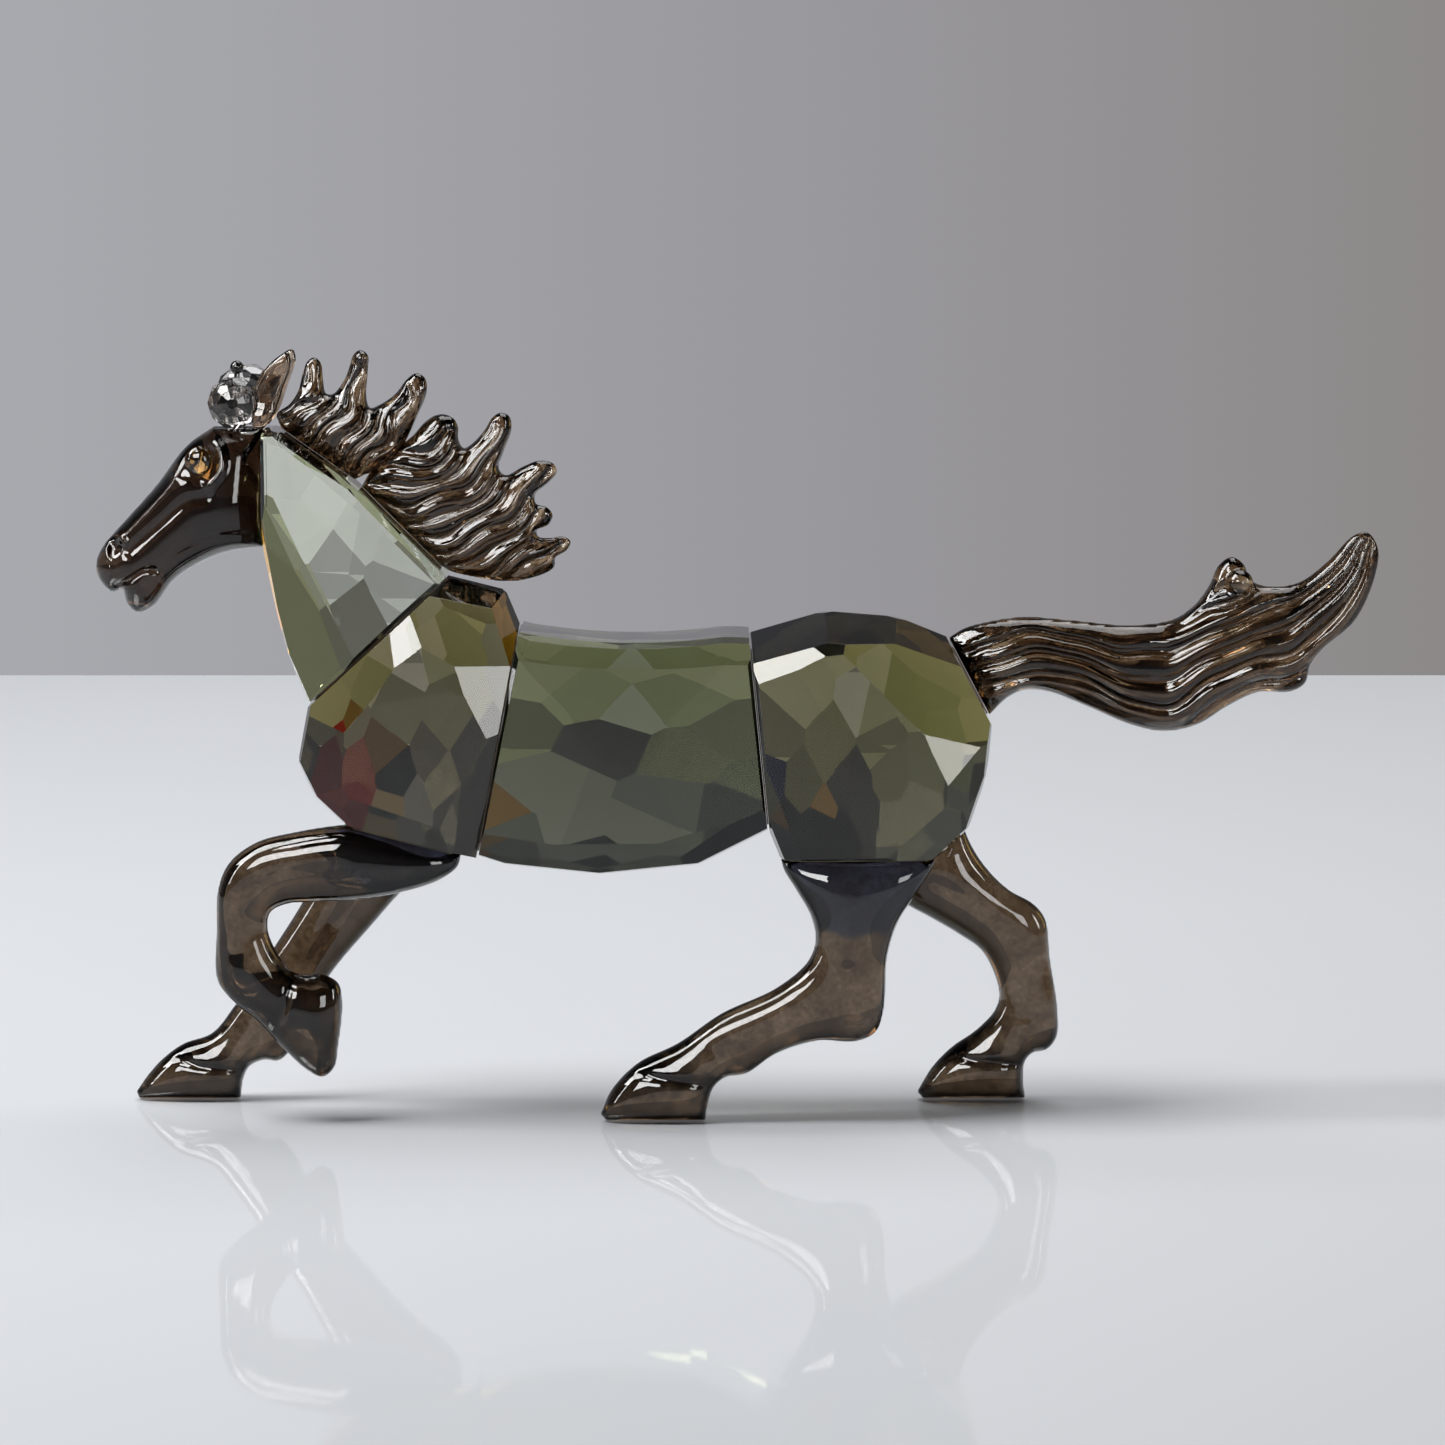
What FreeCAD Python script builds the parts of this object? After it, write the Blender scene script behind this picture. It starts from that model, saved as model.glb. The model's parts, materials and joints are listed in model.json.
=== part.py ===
import FreeCAD, Part
import Sketcher
import math
import os

# Running horse figurine of cut crystals and moulded smoky glass, glued face to face.
# Millimetres. The head points toward -X, the tail toward +X, +Z is up and the hooves stand on Z = 0.
# X = 0 is the middle of the length and Y = 0 the horse's plane of symmetry; its left side is -Y.

doc = FreeCAD.newDocument("running_horse")
V = FreeCAD.Vector

# ---------------------------------------------------------------- driving sizes
SIZES = [
    ("glue_gap", 0.2),
    ("glue_margin", 1.2),
    ("neck_depth", 21),
    ("shoulder_depth", 29),
    ("barrel_depth", 27),
    ("rump_depth", 30),
    ("seam_bevel", 0.7),
    ("girdle_inset", 0.9),
    ("girdle_drop", 5),
    ("crown_inset", 3.6),
    ("crown_drop", 2.2),
    ("kite_drop", 1.5),
    ("saddle_radius", 88),
    ("saddle_sag", 1.3),
    ("leg_depth", 9),
    ("leg_spread", 9.5),
    ("leg_round", 1),
    ("head_depth", 14),
    ("head_round", 0.7),
    ("eye_radius", 2),
    ("eye_height", 1.6),
    ("socket_radius", 2.3),
    ("socket_floor", 5.3),
    ("nostril_radius", 0.9),
    ("nostril_floor", 3),
    ("ear_depth", 2.6),
    ("ear_spread", 4.9),
    ("ear_round", 0.4),
    ("mane_depth", 10),
    ("tail_depth", 13),
    ("tail_round", 1.2),
    ("bead_width", 7),
    ("bead_girdle", 2.6),
    ("bead_slope", 2),
    ("ball_radius", 0.95),
    ("stem_foot", 0.55),
    ("stem_neck", 0.4),
]
sheet = doc.addObject("Spreadsheet::Sheet", "sizes")
for row, (alias, value) in enumerate(SIZES, start=1):
    sheet.set(f"A{row}", alias)
    sheet.set(f"B{row}", str(value))
    sheet.setAlias(f"B{row}", alias)
doc.recompute()


def size(alias):
    """One driving size, read from the sheet."""
    return float(sheet.get(alias))


# ---------------------------------------------------------------- plane geometry in X, Z
def shifted(a, b, gap):
    """The line from a to b moved sideways by the gap, to the left of its direction."""
    length = math.dist(a, b)
    side = (-(b[1] - a[1]) / length * gap, (b[0] - a[0]) / length * gap)
    return (a[0] + side[0], a[1] + side[1]), (b[0] + side[0], b[1] + side[1])


def along(a, b, distance):
    """The point at a distance from a on the way to b."""
    share = distance / math.dist(a, b)
    return (a[0] + (b[0] - a[0]) * share, a[1] + (b[1] - a[1]) * share)


def at_x(a, b, x):
    """The point of the line through a and b at this X."""
    return (x, a[1] + (b[1] - a[1]) * (x - a[0]) / (b[0] - a[0]))


# ---------------------------------------------------------------- features
def origin_plane(body, role):
    return [(feature, "") for feature in body.Origin.OriginFeatures if feature.Role == role]


def new_sketch(body, name, role, offset=0.0):
    """A sketch on one of the body's own origin planes, moved along that plane's normal."""
    sketch = body.newObject("Sketcher::SketchObject", name)
    sketch.AttachmentSupport = origin_plane(body, role)
    sketch.MapMode = "FlatFace"
    sketch.AttachmentOffset = FreeCAD.Placement(V(0, 0, offset), FreeCAD.Rotation())
    return sketch


def draw(sketch, runs):
    """Draw runs of points end to end: two make a line, three an arc, more a smooth curve."""
    for run in runs:
        points = [V(x, z, 0) for x, z in run]
        if len(points) == 2:
            sketch.addGeometry(Part.LineSegment(*points), False)
        elif len(points) == 3:
            sketch.addGeometry(Part.Arc(*points), False)
        else:
            curve = Part.BSplineCurve()
            curve.interpolate(points)
            sketch.addGeometry(curve, False)


def corners(points):
    """The closed polygon through the points, as runs for draw()."""
    return [[points[i - 1], points[i]] for i in range(len(points))]


def slab(name, runs, depth):
    """A body padded from its side outline, evenly to both sides of its own XZ plane."""
    body = doc.addObject("PartDesign::Body", name)
    outline = new_sketch(body, name + "_outline", "XZ_Plane")
    draw(outline, runs)
    pad = body.newObject("PartDesign::Pad", name + "_pad")
    pad.Profile = outline
    pad.SideType = "Symmetric"
    pad.setExpression("Length", "sizes." + depth)
    doc.recompute()
    return body


def trim_sides(body, role, profile):
    """Cut both sides back to a smooth profile of (position, half depth): along Z with the plane
    YZ_Plane, along X with XY_Plane."""
    first, last = profile[0][0], profile[-1][0]
    for sign, side in ((-1, "left"), (1, "right")):
        sketch = new_sketch(body, f"{body.Name}_{side}_profile", role)
        edge = [(at, sign * half) for at, half in profile]
        out = sign * 40
        loop = [edge, [edge[-1], (last, out)], [(last, out), (first, out)], [(first, out), edge[0]]]
        if role == "YZ_Plane":
            loop = [[(across, at) for at, across in run] for run in loop]
        draw(sketch, loop)
        cut = body.newObject("PartDesign::Pocket", f"{body.Name}_{side}_trim")
        cut.Profile = sketch
        cut.SideType = "Symmetric"
        cut.Length = 400
        doc.recompute()


def round_sides(body, radius):
    """Round the long edges where the outline's curved walls meet the two side faces."""
    base = body.Tip
    edges = []
    for number, edge in enumerate(base.Shape.Edges, start=1):
        walls = [face for face in base.Shape.ancestorsOfType(edge, Part.Face) if is_wall(face)]
        if len(walls) == 1 and walls[0].Surface.TypeId != "Part::GeomPlane":
            edges.append(f"Edge{number}")
    fillet = body.newObject("PartDesign::Fillet", body.Name + "_rounding")
    fillet.Base = (base, edges)
    fillet.setExpression("Radius", "sizes." + radius)
    doc.recompute()


def is_wall(face):
    """Whether a face runs across the horse, like the walls of a slab."""
    u0, u1, v0, v1 = face.ParameterRange
    return abs(face.normalAt((u0 + u1) / 2, (v0 + v1) / 2).y) < 0.1


def film(name, a, b, depth):
    """The thin layer of clear glue on the seat from a to b, a little short of the seat's rim."""
    margin = size("glue_margin")
    start, end = along(a, b, margin), along(b, a, margin)
    far_start, far_end = shifted(start, end, size("glue_gap"))
    body = doc.addObject("PartDesign::Body", name)
    outline = new_sketch(body, name + "_outline", "XZ_Plane")
    draw(outline, corners([start, end, far_end, far_start]))
    pad = body.newObject("PartDesign::Pad", name + "_pad")
    pad.Profile = outline
    pad.SideType = "Symmetric"
    pad.setExpression("Length", f"sizes.{depth} - 2 * sizes.glue_margin")
    doc.recompute()
    return body


# ---------------------------------------------------------------- cut crystals
WHEEL = 200.0


def grind(stone, point, normal):
    """Grind away everything beyond the plane through the point."""
    wheel = Part.makeBox(WHEEL, WHEEL, WHEEL, V(-WHEEL / 2, -WHEEL / 2, 0))
    wheel.Placement = FreeCAD.Placement(point, FreeCAD.Rotation(V(0, 0, 1), normal))
    return stone.cut(wheel)


def cut_crystal(name, outline, depth, seats=()):
    """A crystal ground from a slab: on each free edge a steep girdle facet and a crown facet, on
    each free corner a kite facet, and a hairline bevel along the glued edges. The outline runs
    clockwise seen from -Y; seats numbers the glued edges, edge i running from corner i."""
    half = size(depth) / 2
    face = Part.Face(Part.makePolygon([V(x, -half, z) for x, z in outline + outline[:1]]))
    stone = face.extrude(V(0, 2 * half, 0))
    count = len(outline)
    normals = []
    for i in range(count):
        a, b = outline[i], outline[(i + 1) % count]
        tip = shifted(a, b, 1)[0]
        normals.append(V(tip[0] - a[0], 0, tip[1] - a[1]))
    for side in (-1, 1):
        out = V(0, side, 0)
        for i, (x, z) in enumerate(outline):
            rim = V(x, 0, z)
            if i in seats:
                bevel = size("seam_bevel")
                stone = grind(stone, rim + out * (half - bevel), normals[i] + out)
                continue
            inset, drop = size("girdle_inset"), size("girdle_drop")
            stone = grind(stone, rim + out * (half - drop), normals[i] * drop + out * inset)
            inset, drop = size("crown_inset"), size("crown_drop")
            stone = grind(stone, rim + out * (half - drop), normals[i] * drop + out * inset)
            if i - 1 not in seats and (i - 1) % count not in seats:
                bisector = (normals[i] + normals[i - 1]).normalize()
                drop = size("kite_drop")
                point = rim - bisector * (inset * 0.55) + out * (half - drop * 0.8)
                stone = grind(stone, point, bisector * drop + out * inset * 1.2)
    return stone


def place(name, shape):
    """A finished ground stone as its own named part."""
    part = doc.addObject("Part::Feature", name)
    part.Shape = shape
    part.Placement = FreeCAD.Placement()
    return part


gap = size("glue_gap")

# Shoulder crystal, the first in the row: corner 0 and 1 carry the neck, 3 and 4 the barrel, and
# the forelegs are glued under the edge from corner 4 to corner 5.
shoulder = [(-59.5, 57.9), (-40.4, 75.4), (-32.4, 73.4), (-30.4, 68.6), (-36.2, 37.0), (-54.8, 41.8),
            (-58.6, 45.4), (-60.9, 50.3)]
neck_low, neck_high = shifted(shoulder[0], shoulder[1], gap)
barrel_high, barrel_low = shifted(shoulder[3], shoulder[4], gap)

# Neck crystal: the head is glued to its upright front, the two mane pieces to its crest.
neck = [(-65.8, 96.0), (-64.0, 96.0), (-53.4, 88.5), neck_high, neck_low, (-62.6, 64.9), (-64.3, 71.5),
        (-65.8, 79.4)]
barrel = [barrel_high, (1.6, 67.4), (4.2, 40.6), (-5.4, 35.8), (-19.2, 34.4), (-32.4, 35.8), barrel_low]
rump_high, rump_low = shifted(barrel[1], barrel[2], gap)
rump = [rump_high, (12.1, 70.4), (22.3, 69.6), (29.2, 66.8), (35.2, 55.4), (34.5, 48.4), (32.0, 41.0),
        (27.6, 36.9), (5.9, 36.9), rump_low]

place("neck_crystal", cut_crystal("neck_crystal", neck, "neck_depth", (3, 7)))
place("shoulder_crystal", cut_crystal("shoulder_crystal", shoulder, "shoulder_depth", (0, 3, 4)))
place("rump_crystal", cut_crystal("rump_crystal", rump, "rump_depth", (3, 7, 9)))

# Barrel crystal: its back is polished to a shallow saddle across the horse.
stone = cut_crystal("barrel_crystal", barrel, "barrel_depth", (1, 6))
radius, sag = size("saddle_radius"), size("saddle_sag")
saddle = Part.makeCylinder(radius, WHEEL, V(-14, -WHEEL / 2, 67.4 - sag + radius), V(0, 1, 0))
place("barrel_crystal", stone.cut(saddle))

film("bond_head_neck", neck[7], neck[0], "head_depth")
film("bond_neck_shoulder", shoulder[0], shoulder[1], "neck_depth")
film("bond_shoulder_barrel", shoulder[3], shoulder[4], "barrel_depth")
film("bond_barrel_rump", barrel[1], barrel[2], "barrel_depth")

film("bond_mane_front", neck[1], neck[2], "mane_depth")
film("bond_mane_rear", neck[2], neck[3], "mane_depth")
film("bond_tail_rump", rump[3], rump[4], "tail_depth")

# ---------------------------------------------------------------- legs
fore_seat = shifted(shoulder[4], shoulder[5], gap)
hind_seat = shifted(rump[7], rump[8], gap)
haunch_seat = shifted(rump[6], rump[7], gap)


def leg(name, runs, profile, side):
    """A moulded leg and hoof in one piece, standing off the middle plane on one side."""
    body = slab(name, runs, "leg_depth")
    trim_sides(body, "YZ_Plane", profile)
    round_sides(body, "leg_round")
    body.setExpression("Placement.Base.y", f"{side} * sizes.leg_spread")
    doc.recompute()
    return body


# Left foreleg: raised, knee forward, with the hoof folded back under it.
front, back = at_x(*fore_seat, -54.3), at_x(*fore_seat, -38.4)
leg("foreleg_left", [
    [front, (-56.6, 41.2), (-61.3, 40.4), (-66.7, 39.0), (-70.5, 36.2), (-72.1, 32.6), (-72.4, 26.5),
     (-72.3, 19.6), (-69.6, 16.2), (-66.9, 14.1), (-63.4, 10.3), (-59.8, 7.0), (-57.8, 6.1),
     (-56.2, 7.4), (-55.6, 10.5), (-55.0, 16.5), (-55.6, 19.3), (-58.0, 20.5), (-60.4, 20.4),
     (-62.1, 21.0), (-64.2, 23.8), (-65.3, 26.8), (-64.9, 29.2), (-62.6, 30.4), (-58.7, 30.7),
     (-53.4, 31.0), (-46.8, 32.0), (-41.5, 33.7), (-38.9, 35.6), back],
    [back, front],
], [(2, 4.0), (10, 4.2), (19, 4.0), (27, 3.7), (35, 4.2), (46, 4.5)], -1)

# Right foreleg: reaching forward and down to the ground.
front, back = at_x(*fore_seat, -54.3), at_x(*fore_seat, -39.4)
leg("foreleg_right", [
    [front, (-57.4, 36.2), (-61.8, 27.9), (-65.2, 22.5), (-71.4, 13.3), (-74.7, 9.3), (-78.7, 7.8),
     (-81.3, 6.0), (-83.6, 3.6), (-85.5, 0.9)],
    [(-85.5, 0.9), (-85.1, 0)],
    [(-85.1, 0), (-70.7, 0)],
    [(-70.7, 0), (-70.2, 3.0), (-69.3, 4.6), (-67.3, 5.5), (-65.2, 5.4), (-63.6, 6.8), (-60.6, 12.6),
     (-57.9, 17.6), (-51.9, 24.8), (-46.5, 30.8), (-41.5, 35.0), back],
    [back, front],
], [(-4, 4.4), (3, 4.3), (8, 3.6), (18, 3.5), (30, 4.1), (46, 4.5)], 1)

# Left hind leg: stretched forward under the barrel.
front, back = (6.0, hind_seat[0][1]), (27.4, hind_seat[0][1])
leg("hindleg_left", [
    [back, (27.0, 35.3), (25.1, 32.2), (22.3, 27.9), (20.8, 23.0), (20.3, 15.4), (19.2, 12.4),
     (16.4, 11.1), (11.1, 11.2), (5.4, 9.4), (1.2, 6.6), (-1.6, 6.1), (-3.3, 4.7), (-4.2, 2.0),
     (-4.5, 0)],
    [(-4.5, 0), (-18.4, 0)],
    [(-18.4, 0), (-19.1, 0.9)],
    [(-19.1, 0.9), (-17.6, 4.2), (-13.9, 8.0), (-8.3, 10.8), (-2.2, 15.0), (5.3, 18.5), (9.7, 22.2),
     (10.8, 25.2), (10.2, 28.6), (8.2, 32.2), (6.4, 35.2), front],
    [front, back],
], [(-4, 4.4), (3, 4.3), (8, 3.7), (18, 3.7), (30, 4.2), (44, 4.5)], -1)

# Right hind leg: pushing off behind, glued to the flat and to the bevel of the rump.
top, fold = at_x(*haunch_seat, 31.7), at_x(*hind_seat, haunch_seat[1][0] - 0.1)
front = (18.6, hind_seat[0][1])
leg("hindleg_right", [
    [top, (32.6, 37.4), (34.8, 33.6), (38.4, 29.9), (42.0, 27.8), (43.7, 25.6), (44.4, 20.0),
     (45.5, 12.8), (45.4, 8.8), (44.0, 7.0), (42.0, 6.5), (40.9, 5.2), (40.7, 2.4), (41.0, 0)],
    [(41.0, 0), (26.4, 0)],
    [(26.4, 0), (25.6, 0.9)],
    [(25.6, 0.9), (27.7, 4.4), (30.5, 7.3), (33.9, 9.7), (36.6, 12.6), (37.2, 15.2), (34.9, 20.9),
     (31.5, 23.5), (27.6, 25.8), (23.4, 28.2), (20.2, 31.6), front],
    [front, fold],
    [fold, top],
], [(-4, 4.4), (3, 4.3), (8, 3.7), (18, 3.7), (30, 4.2), (44, 4.5)], 1)

# ---------------------------------------------------------------- head
poll = 96.2
chin, crown = shifted(neck[7], neck[0], gap)
head = slab("head", [
    [(crown[0], poll), (-73.0, poll)],
    [(-73.0, poll), (-76.7, 93.6), (-81.1, 87.9), (-86.3, 82.1), (-88.6, 79.4), (-89.5, 77.2),
     (-89.2, 75.0), (-87.4, 73.1), (-85.9, 73.5)],
    [(-85.9, 73.5), (-85.2, 71.3), (-83.8, 70.2), (-81.6, 71.1), (-78.7, 74.7), (-75.1, 77.1),
     (-71.0, 78.7), chin],
    [chin, (crown[0], poll)],
], "head_depth")
trim_sides(head, "XY_Plane", [(-94, 4.0), (-86, 4.5), (-79, 5.7), (-72, 6.8), (-62, 7.0)])
round_sides(head, "head_round")


def hollow(body, name, x, z, radius, floor):
    """A round hollow sunk into both sides of a body, down to a floor on each side."""
    for role, sign in (("left", 1), ("right", -1)):
        sketch = new_sketch(body, f"{name}_{role}_mouth", "XZ_Plane")
        sketch.setExpression("AttachmentOffset.Base.z", f"{sign} * sizes.{floor}")
        circle = sketch.addGeometry(Part.Circle(V(x, z, 0), V(0, 0, 1), 1), False)
        rim = sketch.addConstraint(Sketcher.Constraint("Radius", circle, 1))
        sketch.setExpression(f"Constraints[{rim}]", "sizes." + radius)
        cut = body.newObject("PartDesign::Pocket", f"{name}_{role}")
        cut.Profile = sketch
        cut.Length = 10
        cut.Reversed = sign > 0
        doc.recompute()


eye_x, eye_z = -74.6, 91.8
hollow(head, "socket", eye_x, eye_z, "socket_radius", "socket_floor")
hollow(head, "nostril", -86.3, 79.6, "nostril_radius", "nostril_floor")


def turned(name, profile):
    """A round piece turned about its own Z axis from a profile of runs in (radius, height)."""
    body = doc.addObject("PartDesign::Body", name)
    sketch = new_sketch(body, name + "_profile", "XZ_Plane")
    draw(sketch, profile)
    turning = body.newObject("PartDesign::Revolution", name + "_turning")
    turning.Profile = sketch
    turning.ReferenceAxis = (sketch, ["V_Axis"])
    turning.Angle = 360
    doc.recompute()
    return body


# Eyes: round stones standing on the socket floors, their domes facing out.
r, h = size("eye_radius"), size("eye_height")
for name, sign in (("eye_left", -1), ("eye_right", 1)):
    eye = turned(name, [[(0, 0), (r, 0)], [(r, 0), (r, 0.4 * h)],
                        [(r, 0.4 * h), (0.75 * r, 0.75 * h), (0.4 * r, 0.94 * h), (0, h)], [(0, h), (0, 0)]])
    eye.Placement = FreeCAD.Placement(V(eye_x, sign * size("socket_floor"), eye_z),
                                      FreeCAD.Rotation(V(1, 0, 0), -90 * sign))

# Ears: upright leaves behind the crown stones.
for name, sign in (("ear_left", -1), ("ear_right", 1)):
    ear = slab(name, [
        [(-65.6, poll), (-67.2, poll)],
        [(-67.2, poll), (-67.5, 99.2), (-66.4, 102.9), (-64.4, 105.5), (-62.3, 106.7), (-61.8, 105.4),
         (-62.9, 101.8), (-64.2, 98.2), (-65.6, poll)],
    ], "ear_depth")
    round_sides(ear, "ear_round")
    ear.setExpression("Placement.Base.y", f"{sign} * sizes.ear_spread")

# Crown stones: clear faceted beads standing on the poll, the right one larger.
for name, x, y, scale in (("crown_stone_left", -69.8, -4.1, 1.0), ("crown_stone_right", -68.7, 4.3, 1.2)):
    sides = 10
    reach = scale * size("bead_width") / 2 / math.cos(math.pi / sides)
    ring = [(reach * math.sin(math.pi * (2 * i + 1) / sides), reach * math.cos(math.pi * (2 * i + 1) / sides))
            for i in range(sides)]
    bead = doc.addObject("PartDesign::Body", name)
    sketch = new_sketch(bead, name + "_girdle", "XZ_Plane")
    draw(sketch, corners(ring))
    pad = bead.newObject("PartDesign::Pad", name + "_pad")
    pad.Profile = sketch
    pad.SideType = "Symmetric"
    pad.setExpression("Length", "sizes.bead_girdle + 2 * sizes.bead_slope")
    doc.recompute()
    facets = bead.newObject("PartDesign::Chamfer", name + "_facets")
    rims = [f"Edge{n}" for n, edge in enumerate(pad.Shape.Edges, start=1)
            if abs(edge.tangentAt(edge.FirstParameter).y) < 0.5]
    facets.Base = (pad, rims)
    facets.setExpression("Size", "sizes.bead_slope")
    bead.Placement.Base = V(x, y, poll + scale * size("bead_width") / 2)
    doc.recompute()

# Forelock: a thin clear stem rising between the crown stones, ending in a small dark ball.
ball, foot, waist = size("ball_radius"), size("stem_foot"), size("stem_neck")
join = 8.2 - math.sqrt(ball ** 2 - waist ** 2)
forelock = turned("forelock", [
    [(0, 0), (foot, 0)],
    [(foot, 0), (waist, join)],
    [(waist, join), (ball, 8.2), (0, 8.2 + ball)],
    [(0, 8.2 + ball), (0, 0)],
])
forelock.Placement.Base = V(-69.7, 0, poll)

# ---------------------------------------------------------------- mane and tail
seat = shifted(neck[1], neck[2], gap)
low, high = at_x(*seat, -53.4), at_x(*seat, -63.6)
mane_front = slab("mane_front", [
    [high, (-64.2, 97.9), (-62.4, 99.3), (-61.2, 101.1), (-60.6, 103.3), (-59.9, 105.2), (-58.9, 105.8),
     (-58.0, 105.0), (-57.7, 102.6), (-57.3, 100.8), (-56.4, 100.7), (-54.8, 102.6), (-54.0, 104.6),
     (-53.5, 106.1), (-52.5, 106.8), (-51.5, 106.0), (-51.5, 103.4), (-51.7, 100.4), (-51.2, 98.8),
     (-49.9, 99.2), (-47.7, 100.7), (-46.0, 102.8), (-44.7, 103.6), (-43.5, 102.9), (-43.3, 100.9),
     (-44.6, 97.6), (-46.1, 94.4), (-48.2, 91.4), (-50.8, 89.9), low],
    [low, high],
], "mane_depth")
trim_sides(mane_front, "YZ_Plane", [(84, 5.0), (93, 5.0), (100, 3.2), (110, 1.6)])

seat = shifted(neck[2], neck[3], gap)
low, high = at_x(*seat, -41.4), at_x(*seat, -52.4)
mane_rear = slab("mane_rear", [
    [high, (-51.6, 89.3), (-50.1, 91.1), (-45.4, 94.8), (-43.6, 96.8), (-41.9, 97.8), (-40.2, 97.7),
     (-39.0, 96.4), (-38.9, 94.4), (-38.2, 93.2), (-36.8, 94.0), (-35.2, 95.8), (-34.2, 97.4),
     (-33.0, 98.1), (-31.8, 97.6), (-31.5, 95.8), (-32.6, 92.6), (-33.3, 90.4), (-32.4, 89.4),
     (-29.9, 90.6), (-27.7, 91.4), (-25.7, 91.0), (-25.2, 89.8), (-26.4, 88.3), (-28.2, 86.7),
     (-28.1, 85.4), (-26.6, 84.9), (-25.8, 83.8), (-26.4, 82.4), (-28.0, 81.6), (-27.8, 80.8),
     (-26.2, 80.6), (-24.3, 80.8), (-23.3, 80.1), (-23.8, 78.9), (-25.4, 77.8), (-25.6, 76.5),
     (-27.4, 75.4), (-31.6, 74.5), (-36.6, 75.1), (-40.2, 76.0), low],
    [low, high],
], "mane_depth")
trim_sides(mane_rear, "XY_Plane", [(-58, 5.0), (-45, 5.0), (-34, 3.6), (-20, 1.6)])

seat = shifted(rump[3], rump[4], gap)
high, low = along(*seat, 0.3), along(seat[1], seat[0], 0.3)
tail = slab("tail", [
    [high, (31.6, 67.9), (34.8, 68.8), (39.9, 69.5), (46.7, 69.0), (55.1, 68.3), (61.1, 69.2),
     (64.0, 71.3), (65.9, 73.9), (67.2, 76.7), (69.0, 77.9), (70.7, 76.9), (71.7, 74.7), (74.0, 73.8),
     (78.3, 74.3), (82.4, 77.3), (85.9, 80.9), (87.9, 81.4), (89.4, 79.2), (88.9, 74.7),
     (86.2, 68.9), (82.0, 65.1), (80.2, 62.8), (79.4, 60.2), (77.3, 59.0), (72.8, 58.9),
     (68.7, 57.0), (64.5, 54.4), (59.9, 53.4), (55.2, 54.3), (48.8, 57.0), (43.6, 59.0),
     (40.4, 59.3), (37.8, 58.2), low],
    [low, high],
], "tail_depth")
trim_sides(tail, "XY_Plane", [(24, 6.5), (36, 6.2), (50, 5.6), (64, 6.0), (78, 4.4), (92, 2.2)])
round_sides(tail, "tail_round")

film("bond_foreleg_left", at_x(shoulder[4], shoulder[5], -38.4), at_x(shoulder[4], shoulder[5], -54.3),
     "leg_depth").setExpression("Placement.Base.y", "-sizes.leg_spread")
film("bond_foreleg_right", at_x(shoulder[4], shoulder[5], -39.4), at_x(shoulder[4], shoulder[5], -54.3),
     "leg_depth").setExpression("Placement.Base.y", "sizes.leg_spread")
film("bond_hindleg_left", (27.4, 36.9), (6.0, 36.9),
     "leg_depth").setExpression("Placement.Base.y", "-sizes.leg_spread")
film("bond_hindleg_right", (27.4, 36.9), (18.6, 36.9),
     "leg_depth").setExpression("Placement.Base.y", "sizes.leg_spread")

# ---------------------------------------------------------------- write the parts
doc.recompute()
os.makedirs("parts", exist_ok=True)
for obj in doc.Objects:
    if any(word in obj.State for word in ("Invalid", "Error")):
        raise SystemExit(f"{obj.Label}: {obj.State}")
for obj in doc.Objects:
    if obj.TypeId in ("PartDesign::Body", "Part::Feature"):
        if obj.Shape.isNull() or not obj.Shape.isValid():
            raise SystemExit(f"{obj.Label}: no valid shape")
        obj.Shape.exportStep(f"parts/{obj.Label}.step")
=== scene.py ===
import json
import math

import bmesh
import bpy
import numpy as np
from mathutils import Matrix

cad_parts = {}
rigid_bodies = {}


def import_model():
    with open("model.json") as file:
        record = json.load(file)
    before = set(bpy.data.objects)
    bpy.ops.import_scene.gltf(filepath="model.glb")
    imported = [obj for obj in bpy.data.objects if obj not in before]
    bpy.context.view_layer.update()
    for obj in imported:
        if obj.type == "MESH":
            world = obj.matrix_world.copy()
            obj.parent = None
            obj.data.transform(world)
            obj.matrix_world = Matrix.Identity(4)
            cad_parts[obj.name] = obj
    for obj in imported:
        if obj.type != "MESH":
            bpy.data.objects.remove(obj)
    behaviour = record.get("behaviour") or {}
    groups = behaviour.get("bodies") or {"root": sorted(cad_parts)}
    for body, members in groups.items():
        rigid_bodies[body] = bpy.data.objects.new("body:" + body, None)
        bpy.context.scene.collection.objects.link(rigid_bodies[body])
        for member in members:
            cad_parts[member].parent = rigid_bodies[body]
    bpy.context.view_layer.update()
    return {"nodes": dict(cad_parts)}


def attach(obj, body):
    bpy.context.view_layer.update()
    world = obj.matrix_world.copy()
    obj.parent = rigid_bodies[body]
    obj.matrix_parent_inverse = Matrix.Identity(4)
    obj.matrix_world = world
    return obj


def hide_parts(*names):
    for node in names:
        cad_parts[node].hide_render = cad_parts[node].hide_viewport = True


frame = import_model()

import openvdb
from mathutils import Matrix, Vector

MM = 0.001

# Sizes in millimetres, the same as the CAD model's
GLUE_GAP = 0.2
NECK_DEPTH, SHOULDER_DEPTH, BARREL_DEPTH, RUMP_DEPTH = 21, 29, 27, 30
LEG_SPREAD, EAR_SPREAD = 9.5, 4.9      # from the middle of the body
POLL = 96.2                            # height of the flat top of the head

# Kept between a piece and its glue film, so that no two faces lie in one plane
AIR = 0.03

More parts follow.
